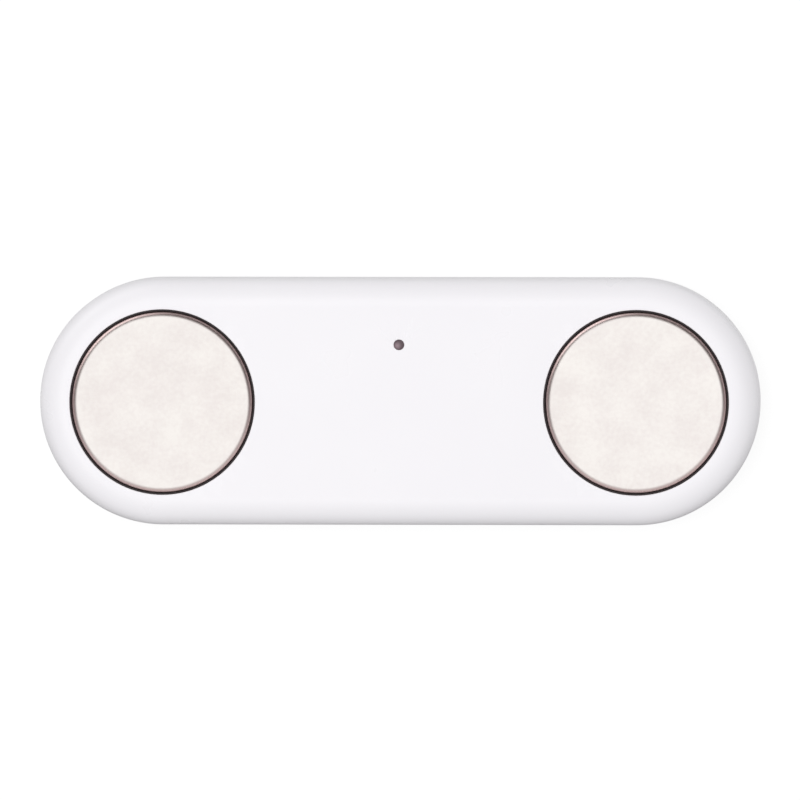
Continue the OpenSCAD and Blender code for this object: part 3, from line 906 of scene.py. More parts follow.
@dataclass
class SubAssembly:
    """What the sub-assemblies share.

    Attributes:
        sizes: The case's sizes.
        workshop: Where pieces are dressed.
        small_steps: Points round a small round form.
    """

    sizes: CaseSizes
    workshop: Workshop
    small_steps: int = field(default=48, kw_only=True)

    def circles(self, radius: float, places: Iterable[Place], height: float) -> list[np.ndarray]:
        """Level rings of points of one radius, one at each place."""
        return [circle(radius, place, height, self.small_steps) for place in places]

    def turn(self, surface: Surface, profile: np.ndarray | Pairs, places: Iterable[Place]) -> None:
        """Adds a profile of (radius, height) to the surface, turned about each place."""
        for place in places:
            surface.grid(revolve(profile, place, self.small_steps))


# ---------------------------------------------------------------- case


@dataclass
class FrontCover(SubAssembly):
    """The white front shell: rounded face, two stepped pockets, light hole, button slot and bosses.

    Attributes:
        button: The side button's sizes.
        light_r: Radius of the light hole.
        light_y: Its distance from the centre line.
        seal_foot_r: Inner radius of the groove for an electrode's seal.
        seal_foot_z: Height of that groove's floor.
        lip: Rounding of the pockets' and the slot's edges.
        soft_power: Fullness of the edge round the face, 2 for a plain round.
        pad_gap: Gap between the thickened face under a pocket and the start of the rounded edge.
        boss_r: Radius of a screw boss.
        boss_bore: Depth of its pilot hole.
        post_r: Radius of a post that the board is screwed to.
        post_hole_r: Radius of its pilot hole.
        post_bore: Depth of its pilot hole.
        post: The first post's place from its end's centre.
        pin: The first rest pin's place.
        pin_r: Radius of a rest pin.
        board_z: Height of the board's upper side.
        pocket_steps: Points round a pocket.
    """

    button: ButtonSizes
    light_r: float = 0.775
    light_y: float = 8.4
    seal_foot_r: float = 12.55
    seal_foot_z: float = 9.7
    lip: float = 0.12
    soft_power: float = 2.15
    pad_gap: float = 0.1
    boss_r: float = 1.95
    boss_bore: float = 3.45
    post_r: float = 1.9
    post_hole_r: float = 0.73
    post_bore: float = 2.3
    post: Place = (0.5, 9.6)
    pin: Place = (16.0, 11.9)
    pin_r: float = 1.2
    board_z: float = 7.0
    pocket_steps: int = 256

    def build(self) -> None:
        """Makes the shell."""
        surface = Surface()
        self._outside(surface)
        self._inside(surface)
        self._pockets(surface)
        self._slot(surface)
        piece = surface.piece("front_cover")
        self.workshop.fit(piece, FinishName.SHELL, "case", "front_shell")

    @property
    def _ceiling_z(self) -> float:
        """Height of the inside of the face."""
        return self.sizes.face_z - self.sizes.wall

    @property
    def _pad_r(self) -> float:
        """Radius of the thickened face under a pocket."""
        return self.sizes.width / 2 - self.sizes.face_edge - self.pad_gap

    @property
    def _light(self) -> Place:
        """The light hole's place."""
        return 0.0, self.light_y

    def _slot_ring(self, inset: float, y: float) -> np.ndarray:
        """The slot's outline in the wall.

        Args:
            inset: What it is narrower by than the slot.
            y: Its depth in the case.

        Returns:
            Its points, shape (n, 3).
        """
        button = self.button
        path = Stadium(button.half_run, button.radius + button.gap, arc_steps=24, run_steps=12)
        place = button.place(y)
        return path.loft([(inset, 0.0)])[0] @ place[:3, :3].T + place[:3, 3]

    def _band(self, surface: Surface, rings: np.ndarray, row: int, slot: np.ndarray) -> None:
        """Joins rings into a skin, and fills its flat band below the middle with the slot left open.

        Args:
            surface: Where the skin goes.
            rings: The skin's rings.
            row: The ring below the flat band.
            slot: The slot's outline in that band.
        """
        columns = self.sizes.outline.lower_places().size
        surface.grid(rings, gap_row=row, gap_columns=columns - 1)
        surface.flat(np.concatenate([rings[row, :columns], rings[row + 1, :columns][::-1]]), [slot])

    def _outside(self, surface: Surface) -> None:
        """The outer skin, from the joint up over the rounded edge to the flat face.

        Args:
            surface: Where it goes.
        """
        sizes = self.sizes
        edge = arc((sizes.face_edge, sizes.face_z - sizes.face_edge), (-sizes.face_edge, sizes.face_edge),
                   0, 90, steps=40, power=self.soft_power)
        rounding = self.lip / 2
        rim = arc((rounding, sizes.parting_z + rounding), (-rounding, -rounding), 90, 0, steps=4)
        rings = sizes.outline.loft(np.vstack([rim, edge]))
        self._band(surface, rings, len(rim) - 1, self._slot_ring(-self.lip, -sizes.width / 2))
        pocket_r = sizes.seal_r + self.lip
        pockets = [circle(pocket_r, end, sizes.face_z, self.pocket_steps) for end in sizes.ends]
        light = self.circles(self.light_r + rounding, [self._light], sizes.face_z)
        surface.flat(rings[-1], [*pockets, *light])

    def _inside(self, surface: Surface) -> None:
        """The joint's flat rim, the inner wall and the ceiling with its rest pins.

        Args:
            surface: Where they go.
        """
        sizes = self.sizes
        ceiling = self._ceiling_z
        radius = sizes.face_edge - sizes.wall
        rise = ceiling - (sizes.face_z - sizes.face_edge)
        edge = arc((sizes.face_edge, sizes.face_z - sizes.face_edge), (-radius, rise), 0, 90, steps=12)
        surface.grid(sizes.outline.loft([(self.lip / 2, sizes.parting_z), (sizes.wall, sizes.parting_z)]))
        rings = sizes.outline.loft(np.vstack([[(sizes.wall, sizes.parting_z)], edge]))
        self._band(surface, rings, 0, self._slot_ring(0, sizes.wall - sizes.width / 2))
        pads = [circle(self._pad_r, end, ceiling, self.pocket_steps) for end in sizes.ends]
        pins = [(sx * self.pin[0], sy * self.pin[1]) for sx in (-1, 1) for sy in (-1, 1)]
        surface.flat(rings[-1], [*pads, *self.circles(self.light_r, [self._light], ceiling),
                                 *self.circles(self.pin_r, pins, ceiling)])
        self.turn(surface, [(self.pin_r, ceiling), (self.pin_r, self.board_z), (0, self.board_z)], pins)

    def _hanging(self, surface: Surface, places: Sequence[Place], radius: float, low: float, bore: float,
                 depth: float) -> None:
        """Bosses that hang from a pad, with a blind hole up the middle of each.

        Args:
            surface: Where they go.
            places: Where they stand.
            radius: Their radius.
            low: The height of their lower ends.
            bore: Radius of the hole.
            depth: Depth of the hole.
        """
        self.turn(surface, [(radius, self.sizes.pad_z), (radius, low), (bore, low), (bore, low + depth),
                            (0, low + depth)], places)

    def _pockets(self, surface: Surface) -> None:
        """The stepped pockets, the pads behind them with their bosses and posts, and the light hole.

        Args:
            surface: Where they go.
        """
        sizes = self.sizes
        lip = arc((sizes.seal_r + self.lip, sizes.face_z - self.lip), (-self.lip, self.lip), 90, 0,
                  steps=6)
        well = np.vstack([lip, [
            (sizes.seal_r, self.seal_foot_z), (self.seal_foot_r, self.seal_foot_z),
            (self.seal_foot_r, sizes.pocket_z), (sizes.stud_hole_r, sizes.pocket_z),
            (sizes.stud_hole_r, sizes.pad_z),
        ]])
        pad = [(self._pad_r, self._ceiling_z), (self._pad_r, sizes.pad_z)]
        for side, end in zip((-1, 1), sizes.ends):
            for profile in (well, pad):
                surface.grid(revolve(profile, end, self.pocket_steps))
            bosses = [screw for screw in sizes.screws if screw[0] * side > 0]
            posts = [(end[0] + side * self.post[0], sy * self.post[1]) for sy in (-1, 1)]
            rim, stud_hole = (circle(radius, end, sizes.pad_z, self.pocket_steps)
                              for radius in (self._pad_r, sizes.stud_hole_r))
            surface.flat(rim, [stud_hole, *self.circles(self.boss_r, bosses, sizes.pad_z),
                               *self.circles(self.post_r, posts, sizes.pad_z)])
            self._hanging(surface, bosses, self.boss_r, sizes.boss_meet_z, sizes.screw_r + sizes.snug_gap,
                          self.boss_bore)
            self._hanging(surface, posts, self.post_r, self.board_z, self.post_hole_r, self.post_bore)
        rounding = self.lip / 2
        light_lip = arc((self.light_r + rounding, sizes.face_z - rounding), (-rounding, rounding), 90, 0,
                        steps=4)
        self.turn(surface, np.vstack([light_lip, [(self.light_r, self._ceiling_z)]]), [self._light])

    def _slot(self, surface: Surface) -> None:
        """The button's slot through the wall, with a rounded outer edge.

        Args:
            surface: Where it goes.
        """
        outer_y = -self.sizes.width / 2
        rounding = arc((-self.lip, self.lip), (self.lip, -self.lip), 90, 0, steps=5)
        rings = [self._slot_ring(inset, outer_y + depth) for inset, depth in rounding]
        rings.append(self._slot_ring(0, outer_y + self.sizes.wall))
        surface.grid(np.stack(rings))


@dataclass(frozen=True)
class Bayonet:
    """The turn lock between the door and the rear shell, in millimetres and degrees.

    Attributes:
        door_r: Radius of the door's plate.
        core_r: Outer radius of the door's ring.
        bore_r: Inner radius of the door's ring.
        ledge_z: Lower side of the ledge that the lugs lock over.
        ledge_t: Thickness of the ledge.
        lug_t: Thickness of a lug.
        gap: Gap round what moves.
        seat_gap: Gap between faces that slide.
        wall: Wall round the lugs' channel.
        lug: Width of a lug.
        turn: Turn from locked to open.
        play: Play of a lug at each end of its channel.
        lock: Direction of the first locked lug.
        count: Number of lugs.
        step: Turn from one point of a ring to the next.
    """

    door_r: float = 12.7
    core_r: float = 11.15
    bore_r: float = 10.3
    ledge_z: float = 1.65
    ledge_t: float = 0.8
    lug_t: float = 0.7
    gap: float = 0.3
    seat_gap: float = 0.05
    wall: float = 1.4
    lug: float = 26.0
    turn: float = 40.0
    play: float = 1.5
    lock: float = 90.0
    count: int = 3
    step: float = 1.5

    @property
    def pocket_r(self) -> float:
        """Radius of the pocket that the door lies in."""
        return self.door_r + self.gap

    @property
    def boss_r(self) -> float:
        """Outer radius of the seat."""
        return self.pocket_r + self.wall

    @property
    def lug_z(self) -> float:
        """Lower side of the lugs."""
        return self.ledge_z + self.ledge_t + self.seat_gap

    def _columns(self, breaks: Pairs) -> tuple[np.ndarray, list[np.ndarray]]:
        """Angles round the axis, with both ends of every stretch given, so that radii can step there.

        Args:
            breaks: For each stretch of one lug's share of the turn, its first angle and its width.

        Returns:
            The angles in radians, and for each stretch a mask of the angles that belong to it.
        """
        angles, owner = [], []
        for i in range(self.count):
            for kind, (start, width) in enumerate(breaks):
                steps = max(2, round(width / self.step) + 1)
                angles.append(np.linspace(start, start + width, steps) + i * 360 / self.count)
                owner.append(np.full(steps, kind))
        owners = np.concatenate(owner)
        return np.radians(np.concatenate(angles)), [owners == kind for kind in range(len(breaks))]

    def _seat_columns(self) -> tuple[np.ndarray, list[np.ndarray]]:
        """Columns of the seat: the way in, the rest of the channel, and the solid stretch.

        Returns:
            The angles in radians, and a mask for each of the three.
        """
        start = self.lock - self.turn - self.lug / 2 - self.play
        way_in = self.lug + 2 * self.play
        channel = self.turn
        solid = 360 / self.count - way_in - channel
        return self._columns([(start, way_in), (start + way_in, channel),
                              (start + way_in + channel, solid)])

    def mouth(self, lip: float) -> np.ndarray:
        """The edge of the door's pocket in the flat back."""
        turn, _ = self._seat_columns()
        return revolve_stepped([(self.pocket_r + lip, 0.0)], turn)[0]

    def boss_ring(self, height: float) -> np.ndarray:
        """The foot of the seat on the inside of the back."""
        turn, _ = self._seat_columns()
        return revolve_stepped([(self.boss_r, height)], turn)[0]

    def marks(self, radius: float) -> tuple[Place, Place]:
        """Places the two marks beside the pocket.

        Args:
            radius: A mark's radius.

        Returns:
            Centres of the locked mark and the open mark.
        """
        reach = self.pocket_r + 2 * radius
        angles = math.radians(self.lock), math.radians(self.lock - self.turn)
        return tuple((reach * math.cos(a), reach * math.sin(a)) for a in angles)

    def seat_surface(self, surface: Surface, floor_z: float, lip: float) -> None:
        """The pocket, ledge, ways in and lug channels, up round the seat and down to the floor.

        The ledge's radius steps out at the ways in, and the channel's at the solid stretches.

        Args:
            surface: Where the seat goes.
            floor_z: Height of the inside of the back.
            lip: Rounding of the pocket's edge.
        """
        turn, (way_in, channel, _) = self._seat_columns()
        ledge_r = self.core_r + self.gap
        ledge = np.where(way_in, self.door_r, ledge_r)
        room = np.where(way_in | channel, self.door_r, ledge_r)
        top = self.lug_z + self.lug_t + self.gap
        over = self.ledge_z + self.ledge_t
        edge = arc((self.pocket_r + lip, lip), (-lip, -lip), 90, 0, steps=6)
        surface.grid(revolve_stepped([
            *map(tuple, edge), (self.pocket_r, self.ledge_z), (self.door_r, self.ledge_z),
            (ledge, self.ledge_z), (ledge, over), (room, over), (room, top), (self.door_r, top),
            (self.boss_r, top), (self.boss_r, floor_z),
        ], turn))

    def door_columns(self) -> tuple[np.ndarray, np.ndarray]:
        """Columns of the door's ring.

        Returns:
            The angles in radians, and which of them lie on a lug.
        """
        turn, (lug, _) = self._columns([(self.lock - self.lug / 2, self.lug),
                                        (self.lock + self.lug / 2, 360 / self.count - self.lug)])
        return turn, lug


@dataclass
class RearCover(SubAssembly):
    """The white rear shell: shadow line, seal groove, locating rib, door seat and screw columns.

    Attributes:
        button: The side button's sizes.
        seat: The bayonet's sizes.
        floor_t: Thickness of the back.
        reveal: Depth and height of the shadow line below the joint.
        seal_inset: Distance of the seal's groove from the outside.
        seal_w: Width of that groove.
        seal_h: Its depth.
        rib_t: Thickness of the locating rib.
        rib_rise: Height of the rib's foot over the start of the floor's rounding.
        rib_gap: How far the rib stops short of the button's flange.
        lip: Rounding of the edges of the recesses in the back.
        mark_r: Radius of the moulded marks by the door.
        mark_depth: Depth of the marks.
        column_r: Radius of a screw column.
        recess_depth: Depth of the recess for a screw's head.
    """

    button: ButtonSizes
    seat: Bayonet
    floor_t: float = 1.5
    reveal: float = 0.2
    seal_inset: float = 0.55
    seal_w: float = 0.6
    seal_h: float = 0.4
    rib_t: float = 0.8
    rib_rise: float = 0.1
    rib_gap: float = 1.0
    lip: float = 0.12
    mark_r: float = 0.45
    mark_depth: float = 0.15
    column_r: float = 2.4
    recess_depth: float = 1.35

    def build(self) -> None:
        """Makes the shell."""
        surface = Surface()
        sizes = self.sizes
        half_notch = self.button.half_run + self.button.radius + self.button.flange + self.rib_gap
        stops = (self.button.x - half_notch, self.button.x + half_notch)
        path = Stadium(sizes.outline.half_run, sizes.outline.radius, stops=stops)
        outside = self._outside_profile()
        rings = path.loft(np.vstack([outside, self._rim_profile()]))
        surface.grid(rings)
        self._back(surface, rings[0])
        floor = self._rib(surface, path, stops)
        self._floor(surface, floor)
        self.seat.seat_surface(surface, self.floor_t, self.lip)
        self._columns(surface)
        self._marks(surface)
        piece = surface.piece("rear_cover")
        self.workshop.fit(piece, FinishName.SHELL, "case", "rear_shell")

    @property
    def _head_hole_r(self) -> float:
        """Radius of the recess for a screw's head."""
        return self.sizes.screw_head_r + self.sizes.loose_gap / 2

    def _outside_profile(self) -> np.ndarray:
        """From the flat back out over its rounded edge to the shadow line.

        Returns:
            Points of (inset, height).
        """
        sizes = self.sizes
        edge = arc((sizes.back_edge, sizes.back_edge), (-sizes.back_edge, -sizes.back_edge), 90, 0,
                   steps=28)
        top = sizes.parting_z - self.reveal
        return np.vstack([edge[:-1], [(0.0, top - self.lip / 2), (self.lip / 2, top)]])

    def _rim_profile(self) -> Pairs:
        """The shadow line's step and the rim, with the groove for the seal.

        Returns:
            Points of (inset, height).
        """
        top = self.sizes.parting_z
        inner = self.seal_inset + self.seal_w
        return [
            (self.reveal, top - self.reveal), (self.reveal, top),
            (self.seal_inset, top), (self.seal_inset, top - self.seal_h),
            (inner, top - self.seal_h), (inner, top),
            (self.sizes.wall + self.sizes.seat_gap, top),
        ]

    def _back(self, surface: Surface, edge: np.ndarray) -> None:
        """The flat back, with its holes.

        Args:
            surface: Where it goes.
            edge: Its outline.
        """
        recesses = self.circles(self._head_hole_r + self.lip, self.sizes.screws, 0)
        marks = self.circles(self.mark_r, self.seat.marks(self.mark_r), 0)
        surface.flat(edge, [self.seat.mouth(self.lip), *recesses, *marks])

    def _rib(self, surface: Surface, path: Stadium, stops: tuple[float, float]) -> np.ndarray:
        """The locating rib, which stops short of the button's flange, and the inside down to the floor.

        The rib's height is a function of the place along the case: the joint's height between the
        two stops on the button's side, and the bosses' height elsewhere.

        Args:
            surface: Where the rib goes.
            path: The outline, with the stops' points given twice.
            stops: Where the rib stops.

        Returns:
            The floor's outline.
        """
        sizes = self.sizes
        outer = sizes.wall + sizes.seat_gap
        inner = outer + self.rib_t
        parting = sizes.parting_z
        radius = sizes.back_edge - self.floor_t
        down = arc((sizes.back_edge, sizes.back_edge), (-radius, -radius), 0, 90, steps=12)
        down = down[down[:, 0] > inner]
        rings = path.loft(np.vstack([
            [(outer, parting), (outer, sizes.boss_meet_z), (inner, sizes.boss_meet_z), (inner, parting)],
            [(inner, down[0, 1] + self.rib_rise)], down]))
        places = path.lower_places()
        # Of a stop's two points, the one on the notch's side belongs to the notch
        first = np.searchsorted(places, stops[0], "right") - 1
        last = np.searchsorted(places, stops[1], "left")
        notch = np.zeros(rings.shape[1], bool)
        notch[first:last + 1] = True
        rings[1:3, notch, 2] = parting
        surface.grid(rings)
        return rings[-1]

    def _floor(self, surface: Surface, edge: np.ndarray) -> None:
        """The inside of the back, round the door seat and the screw columns.

        Args:
            surface: Where it goes.
            edge: Its outline.
        """
        columns = self.circles(self.column_r, self.sizes.screws, self.floor_t)
        surface.flat(edge, [self.seat.boss_ring(self.floor_t), *columns])

    def _columns(self, surface: Surface) -> None:
        """The four screw columns, with their head recesses and clearance holes.

        Args:
            surface: Where they go.
        """
        sizes = self.sizes
        head_r = self._head_hole_r
        hole_r = sizes.screw_r + sizes.loose_gap / 2
        lip = arc((head_r + self.lip, self.lip), (-self.lip, -self.lip), 90, 0, steps=5)
        self.turn(surface, np.vstack([lip, [
            (head_r, self.recess_depth), (hole_r, self.recess_depth), (hole_r, sizes.boss_meet_z),
            (self.column_r, sizes.boss_meet_z), (self.column_r, self.floor_t),
        ]]), sizes.screws)

    def _marks(self, surface: Surface) -> None:
        """A dot where the door is locked, and a ring where it lifts out.

        Args:
            surface: Where they go.
        """
        locked, opened = self.seat.marks(self.mark_r)
        wall = [(self.mark_r, 0), (self.mark_r, self.mark_depth)]
        island_r = self.mark_r / 2
        self.turn(surface, [*wall, (0, self.mark_depth)], [locked])
        self.turn(surface, [*wall, (island_r, self.mark_depth), (island_r, 0), (0, 0)], [opened])


@dataclass
class BatteryDoor(SubAssembly):
    """The round door: plate with a coin slot, ring with three lugs, and its rubber seal.

    Attributes:
        lock: The bayonet's sizes.
        plate_t: Thickness of the plate.
        core_t: Thickness of the door in its middle.
        edge: Rounding of the plate's outer edge.
        slot_l: Length of the coin slot.
        slot_w: Width of the coin slot.
        slot_depth: Its depth.
        slot_hollow: What its middle line is deeper by.
        lip: Rounding of the slot's edge.
        mark_r: Radius of the mark that points at the shell's marks.
        mark_depth: Its depth.
        seal_d: Thickness of the seal.
        seal_steps: Points round the seal.
    """

    lock: Bayonet
    plate_t: float = 0.9
    core_t: float = 1.4
    edge: float = 0.3
    slot_l: float = 15.0
    slot_w: float = 2.0
    slot_depth: float = 0.7
    slot_hollow: float = 0.12
    lip: float = 0.15
    mark_r: float = 0.45
    mark_depth: float = 0.15
    seal_d: float = 0.5
    seal_steps: int = 160

    def build(self) -> None:
        """Makes the door and its seal."""
        self._door()
        self._seal()

    def _door(self) -> None:
        """The door, one closed surface."""
        surface = Surface()
        lock, low = self.lock, self.sizes.door_z
        turn, lug = lock.door_columns()
        reach = np.where(lug, lock.door_r - lock.gap, lock.core_r)
        edge = arc((lock.door_r - self.edge, low + self.edge), (self.edge, -self.edge), 90, 0, steps=8)
        lug_top = lock.lug_z + lock.lug_t
        rings = revolve_stepped([
            *map(tuple, edge), (lock.door_r, low + self.plate_t), (lock.core_r, low + self.plate_t),
            (lock.core_r, lock.lug_z), (reach, lock.lug_z), (reach, lug_top), (lock.core_r, lug_top),
            (lock.bore_r, lug_top), (lock.bore_r, low + self.core_t), (0.0, low + self.core_t),
        ], turn)
        surface.grid(rings)
        slot = Stadium((self.slot_l - self.slot_w) / 2, self.slot_w / 2, arc_steps=24, run_steps=16)
        rounding = arc((-self.lip, low + self.lip), (self.lip, -self.lip), 90, 0, steps=6)
        bottom = low + self.slot_depth
        # The slot's floor is hollow, as a coin's rim leaves it: its middle line is the deepest
        inset = np.linspace(0, slot.radius, num=6)
        hollow = np.column_stack([inset, bottom - self.slot_hollow * (1 - inset / slot.radius) ** 2])
        slot_rings = slot.loft(np.vstack([rounding, hollow]))
        surface.grid(slot_rings)
        # The mark stands one and a half times its width in from the plate's edge
        mark = (0.0, lock.door_r - 3 * self.mark_r)
        surface.flat(rings[0], [slot_rings[0], *self.circles(self.mark_r, [mark], low)])
        bottom = low + self.mark_depth
        self.turn(surface, [(self.mark_r, low), (self.mark_r, bottom), (0, bottom)], [mark])
        self.workshop.fit(surface.piece("door_cover"), FinishName.SHELL, "door", "battery_door")

    def _seal(self) -> None:
        """The seal, a round cord turned about the door's axis."""
        radius = self.seal_d / 2
        middle = (self.lock.core_r + self.lock.seat_gap + radius,
                  self.sizes.door_z + self.plate_t + radius)
        section = arc(middle, (radius, radius), 0, SECTION_END, SECTION_STEPS)
        self.workshop.fit_rings("door_ring", revolve(section, steps=self.seal_steps), FinishName.RUBBER,
                                "door", "door_seal", rows_closed=True)


@dataclass
class SideButton:
    """The side button: a key cap with a shallow finger hollow, its flange and its shank.

    Attributes:
        button: The button's sizes.
        workshop: Where pieces are dressed.
        edge: Rounding of the cap's outer edge.
        hollow: Depth of the finger hollow.
    """

    button: ButtonSizes
    workshop: Workshop
    edge: float = 0.3
    hollow: float = 0.12

    def build(self) -> None:
        """Makes the button."""
        surface = Surface()
        button = self.button
        path = Stadium(button.half_run, button.radius, arc_steps=32, run_steps=16)
        # From the middle line of the face outwards: a parabola, the rounded edge, the side, the flange
        inset = np.linspace(button.radius, self.edge, num=10)
        share = (inset - self.edge) / (button.radius - self.edge)
        face = np.column_stack([inset, self.hollow * share ** 2])
        edge = arc((self.edge, self.edge), (-self.edge, -self.edge), 90, 0, steps=8)
        back = button.depth + button.flange_t
        profile = np.vstack([face, edge[1:], [
            (0, button.depth), (-button.flange, button.depth), (-button.flange, back), (0, back),
        ]])
        rings = path.loft(profile)
        surface.grid(rings)
        half_w, half_h = button.shank
        corners = np.array([(-half_w, -half_h), (half_w, -half_h), (half_w, half_h), (-half_w, half_h)])
        length = button.end_y - button.y
        shank = np.stack([np.column_stack([corners, np.full(4, height)]) for height in (back, length)])
        surface.flat(rings[-1], [shank[0]])
        surface.grid(shank)
        surface.flat(shank[1])
        surface.placed(button.place(button.y))
        self.workshop.fit(surface.piece("side_button"), FinishName.SHELL, "button", "power_button")


@dataclass
class Electrodes(SubAssembly):
    """The two steel caps and the rubber rings that they stand in.

    Attributes:
        rim: Radius of the cap's rolled edge.
        skirt_edge: Rounding of its skirt's lower edge.
        sheet: Thickness of its steel.
        stud_r: Radius of its stud.
        seal_foot_r: Inner radius of the seal's foot.
        steps: Points round a cap or a seal.
    """

    rim: float = 0.85
    skirt_edge: float = 0.08
    sheet: float = 0.6
    stud_r: float = 1.2
    seal_foot_r: float = 12.6
    steps: int = 256

    def build(self) -> None:
        """Makes both caps and both rings."""
        for side, end in zip(("left", "right"), self.sizes.ends):
            self._cap(side, end)
            self._seal(side, end)

    def _cap(self, side: str, end: Place) -> None:
        """A drawn cap with a rolled edge and a stud, turned about its axis.

        Args:
            side: Which of the two it is.
            end: Its centre.
        """
        low, high = extent(f"{side}_electrode")
        radius, bottom, top = self.sizes.electrode_r, self.sizes.pocket_z, high[2]
        rolled = arc((radius - self.rim, top - self.rim), (self.rim, self.rim), 90, 0, steps=16)
        turned = self.skirt_edge
        skirt = arc((radius - turned, bottom + turned), (turned, -turned), 0, 90, steps=4)
        inner = radius - self.sheet
        profile = np.vstack([
            [(0, top), (radius / 2, top)], rolled, skirt,
            [(inner, bottom), (inner, top - self.sheet), (self.stud_r, top - self.sheet),
             (self.stud_r, low[2]), (0, low[2])],
        ])
        self.workshop.fit_rings(f"{side}_cap", revolve(profile, end, self.steps), FinishName.ELECTRODE,
                                "case", f"{side}_electrode")

    def _seal(self, side: str, end: Place) -> None:
        """A rubber ring with a foot under the cap's skirt and a round-topped lip in the gap.

        Args:
            side: Which of the two it is.
            end: Its centre.
        """
        low, high = extent(f"{side}_electrode_seal")
        outer = (high[0] - low[0]) / 2
        inner = self.sizes.electrode_r + self.sizes.snug_gap
        half = (outer - inner) / 2
        crown = arc((outer - half, high[2] - half), (half, half), 0, 180, steps=9)
        profile = np.vstack([[(outer, low[2])], crown,
                             [(inner, self.sizes.pocket_z), (self.seal_foot_r, self.sizes.pocket_z),
                              (self.seal_foot_r, low[2])]])
        self.workshop.fit_rings(f"{side}_seal_ring", revolve(profile, end, self.steps), FinishName.RUBBER,
                                "case", f"{side}_electrode_seal", rows_closed=True)


@dataclass
class SmallTrim(SubAssembly):
    """The light window, the case seal and the case screws.

    Attributes:
        collar: Radius and thickness of the window's collar under the face.
        guide_r: Radius of the light guide below the collar.
        window_r: Radius of the window.
        crown: Rise of the window's middle over its edge.
        seal_inset: Distance of the case seal from the outside.
        seal_w: Width of the case seal.
        seal_h: Its depth.
        recess: Half length, half width and depth of the cross in a screw's head.
        recess_taper: Size of the cross at its bottom, as a share of that at its mouth.
        head_h: Height of a screw's head.
        pitch: Spacing of its thread.
        ridge: Depth of the thread.
        plain_end: Least length of the end without thread.
    """

    collar: tuple[float, float] = (1.4, 0.5)
    guide_r: float = 1.1
    window_r: float = 0.76
    crown: float = 0.1
    seal_inset: float = 0.6
    seal_w: float = 0.5
    seal_h: float = 0.4
    recess: tuple[float, float, float] = (0.96, 0.24, 0.6)
    recess_taper: float = 0.45
    head_h: float = 1.0
    pitch: float = 0.4
    ridge: float = 0.12
    plain_end: float = 0.6

    def build(self) -> None:
        """Makes them."""
        self._window()
        self._case_seal()
        self._screws()

    def _window(self) -> None:
        """A stepped clear rod with a crowned end, turned about its axis."""
        low, high = extent("light_guide")
        ceiling = self.sizes.face_z - self.sizes.wall
        centre = (low[0] + high[0]) / 2, (low[1] + high[1]) / 2
        share = np.linspace(0, 1, num=10)
        crown = np.column_stack([self.window_r * share, high[2] - self.crown * share ** 2])
        profile = np.vstack([crown, [
            (self.window_r, ceiling), (self.collar[0], ceiling),
            (self.collar[0], ceiling - self.collar[1]), (self.guide_r, ceiling - self.collar[1]),
            (self.guide_r, low[2]), (0, low[2]),
        ]])
        self.workshop.fit_rings("light_window", revolve(profile, centre, self.small_steps),
                                FinishName.WINDOW, "case", "light_guide")

    def _case_seal(self) -> None:
        """A rubber cord of rounded section, carried round the case's outline."""
        half_w, half_h = self.seal_w / 2, self.seal_h / 2
        section = arc((self.seal_inset + half_w, self.sizes.parting_z - half_h), (half_w, half_h),
                      0, SECTION_END, SECTION_STEPS, power=4)
        self.workshop.fit_rings("rim_seal", self.sizes.outline.loft(section), FinishName.RUBBER, "case",
                                "case_seal", rows_closed=True)

    def _screws(self) -> None:
        """Four pan-head screws with a cross in the head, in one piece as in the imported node."""
        low, high = extent("case_screws")
        surface = Surface()
        for place in self.sizes.screws:
            self._screw(surface, place, low[2], high[2])
        self.workshop.fit(surface.piece("back_screws"), FinishName.SCREW, "case", "case_screws")

    def _screw(self, surface: Surface, place: Place, low: float, high: float) -> None:
        """One screw: head down, with a flat face that holds the cross, and a pointed thread end.

        Args:
            surface: Where it goes.
            place: Its axis.
            low: Height of the head's face.
            high: Height of the thread's end.
        """
        length, width, depth = self.recess
        head_r, thread_r = self.sizes.screw_head_r, self.sizes.screw_r
        edge = self.head_h / 2
        round_edge = arc((head_r - edge, low + edge), (edge, -edge), 90, 0, steps=10)
        top = low + self.head_h
        # The thread's outline: a zigzag between its root and its crest, which are half a pitch apart
        half_turns = 2 * int((high - top - self.plain_end) / self.pitch)
        heights = top + self.pitch * np.arange(1, half_turns + 1) / 2
        crests = thread_r - self.ridge * (np.arange(half_turns) % 2)
        profile = np.vstack([round_edge, [(head_r, top), (thread_r - self.ridge, top)],
                             np.column_stack([crests, heights]), [(thread_r / 2, high), (0, high)]])
        rings = revolve(profile, place, self.small_steps)
        surface.grid(rings)
        arm = np.array([(length, -width), (length, width), (width, width)])
        quarter_turn = np.array([[0, -1], [1, 0]])
        cross = np.vstack([arm @ np.linalg.matrix_power(quarter_turn, k).T for k in range(4)])
        loops = np.stack([np.column_stack([cross * share + place, np.full(len(cross), z)])
                          for share, z in ((1, low), (self.recess_taper, low + depth))])
        surface.flat(rings[0], [loops[0]])
        surface.grid(loops)
        surface.flat(loops[1])


# ---------------------------------------------------------------- studio


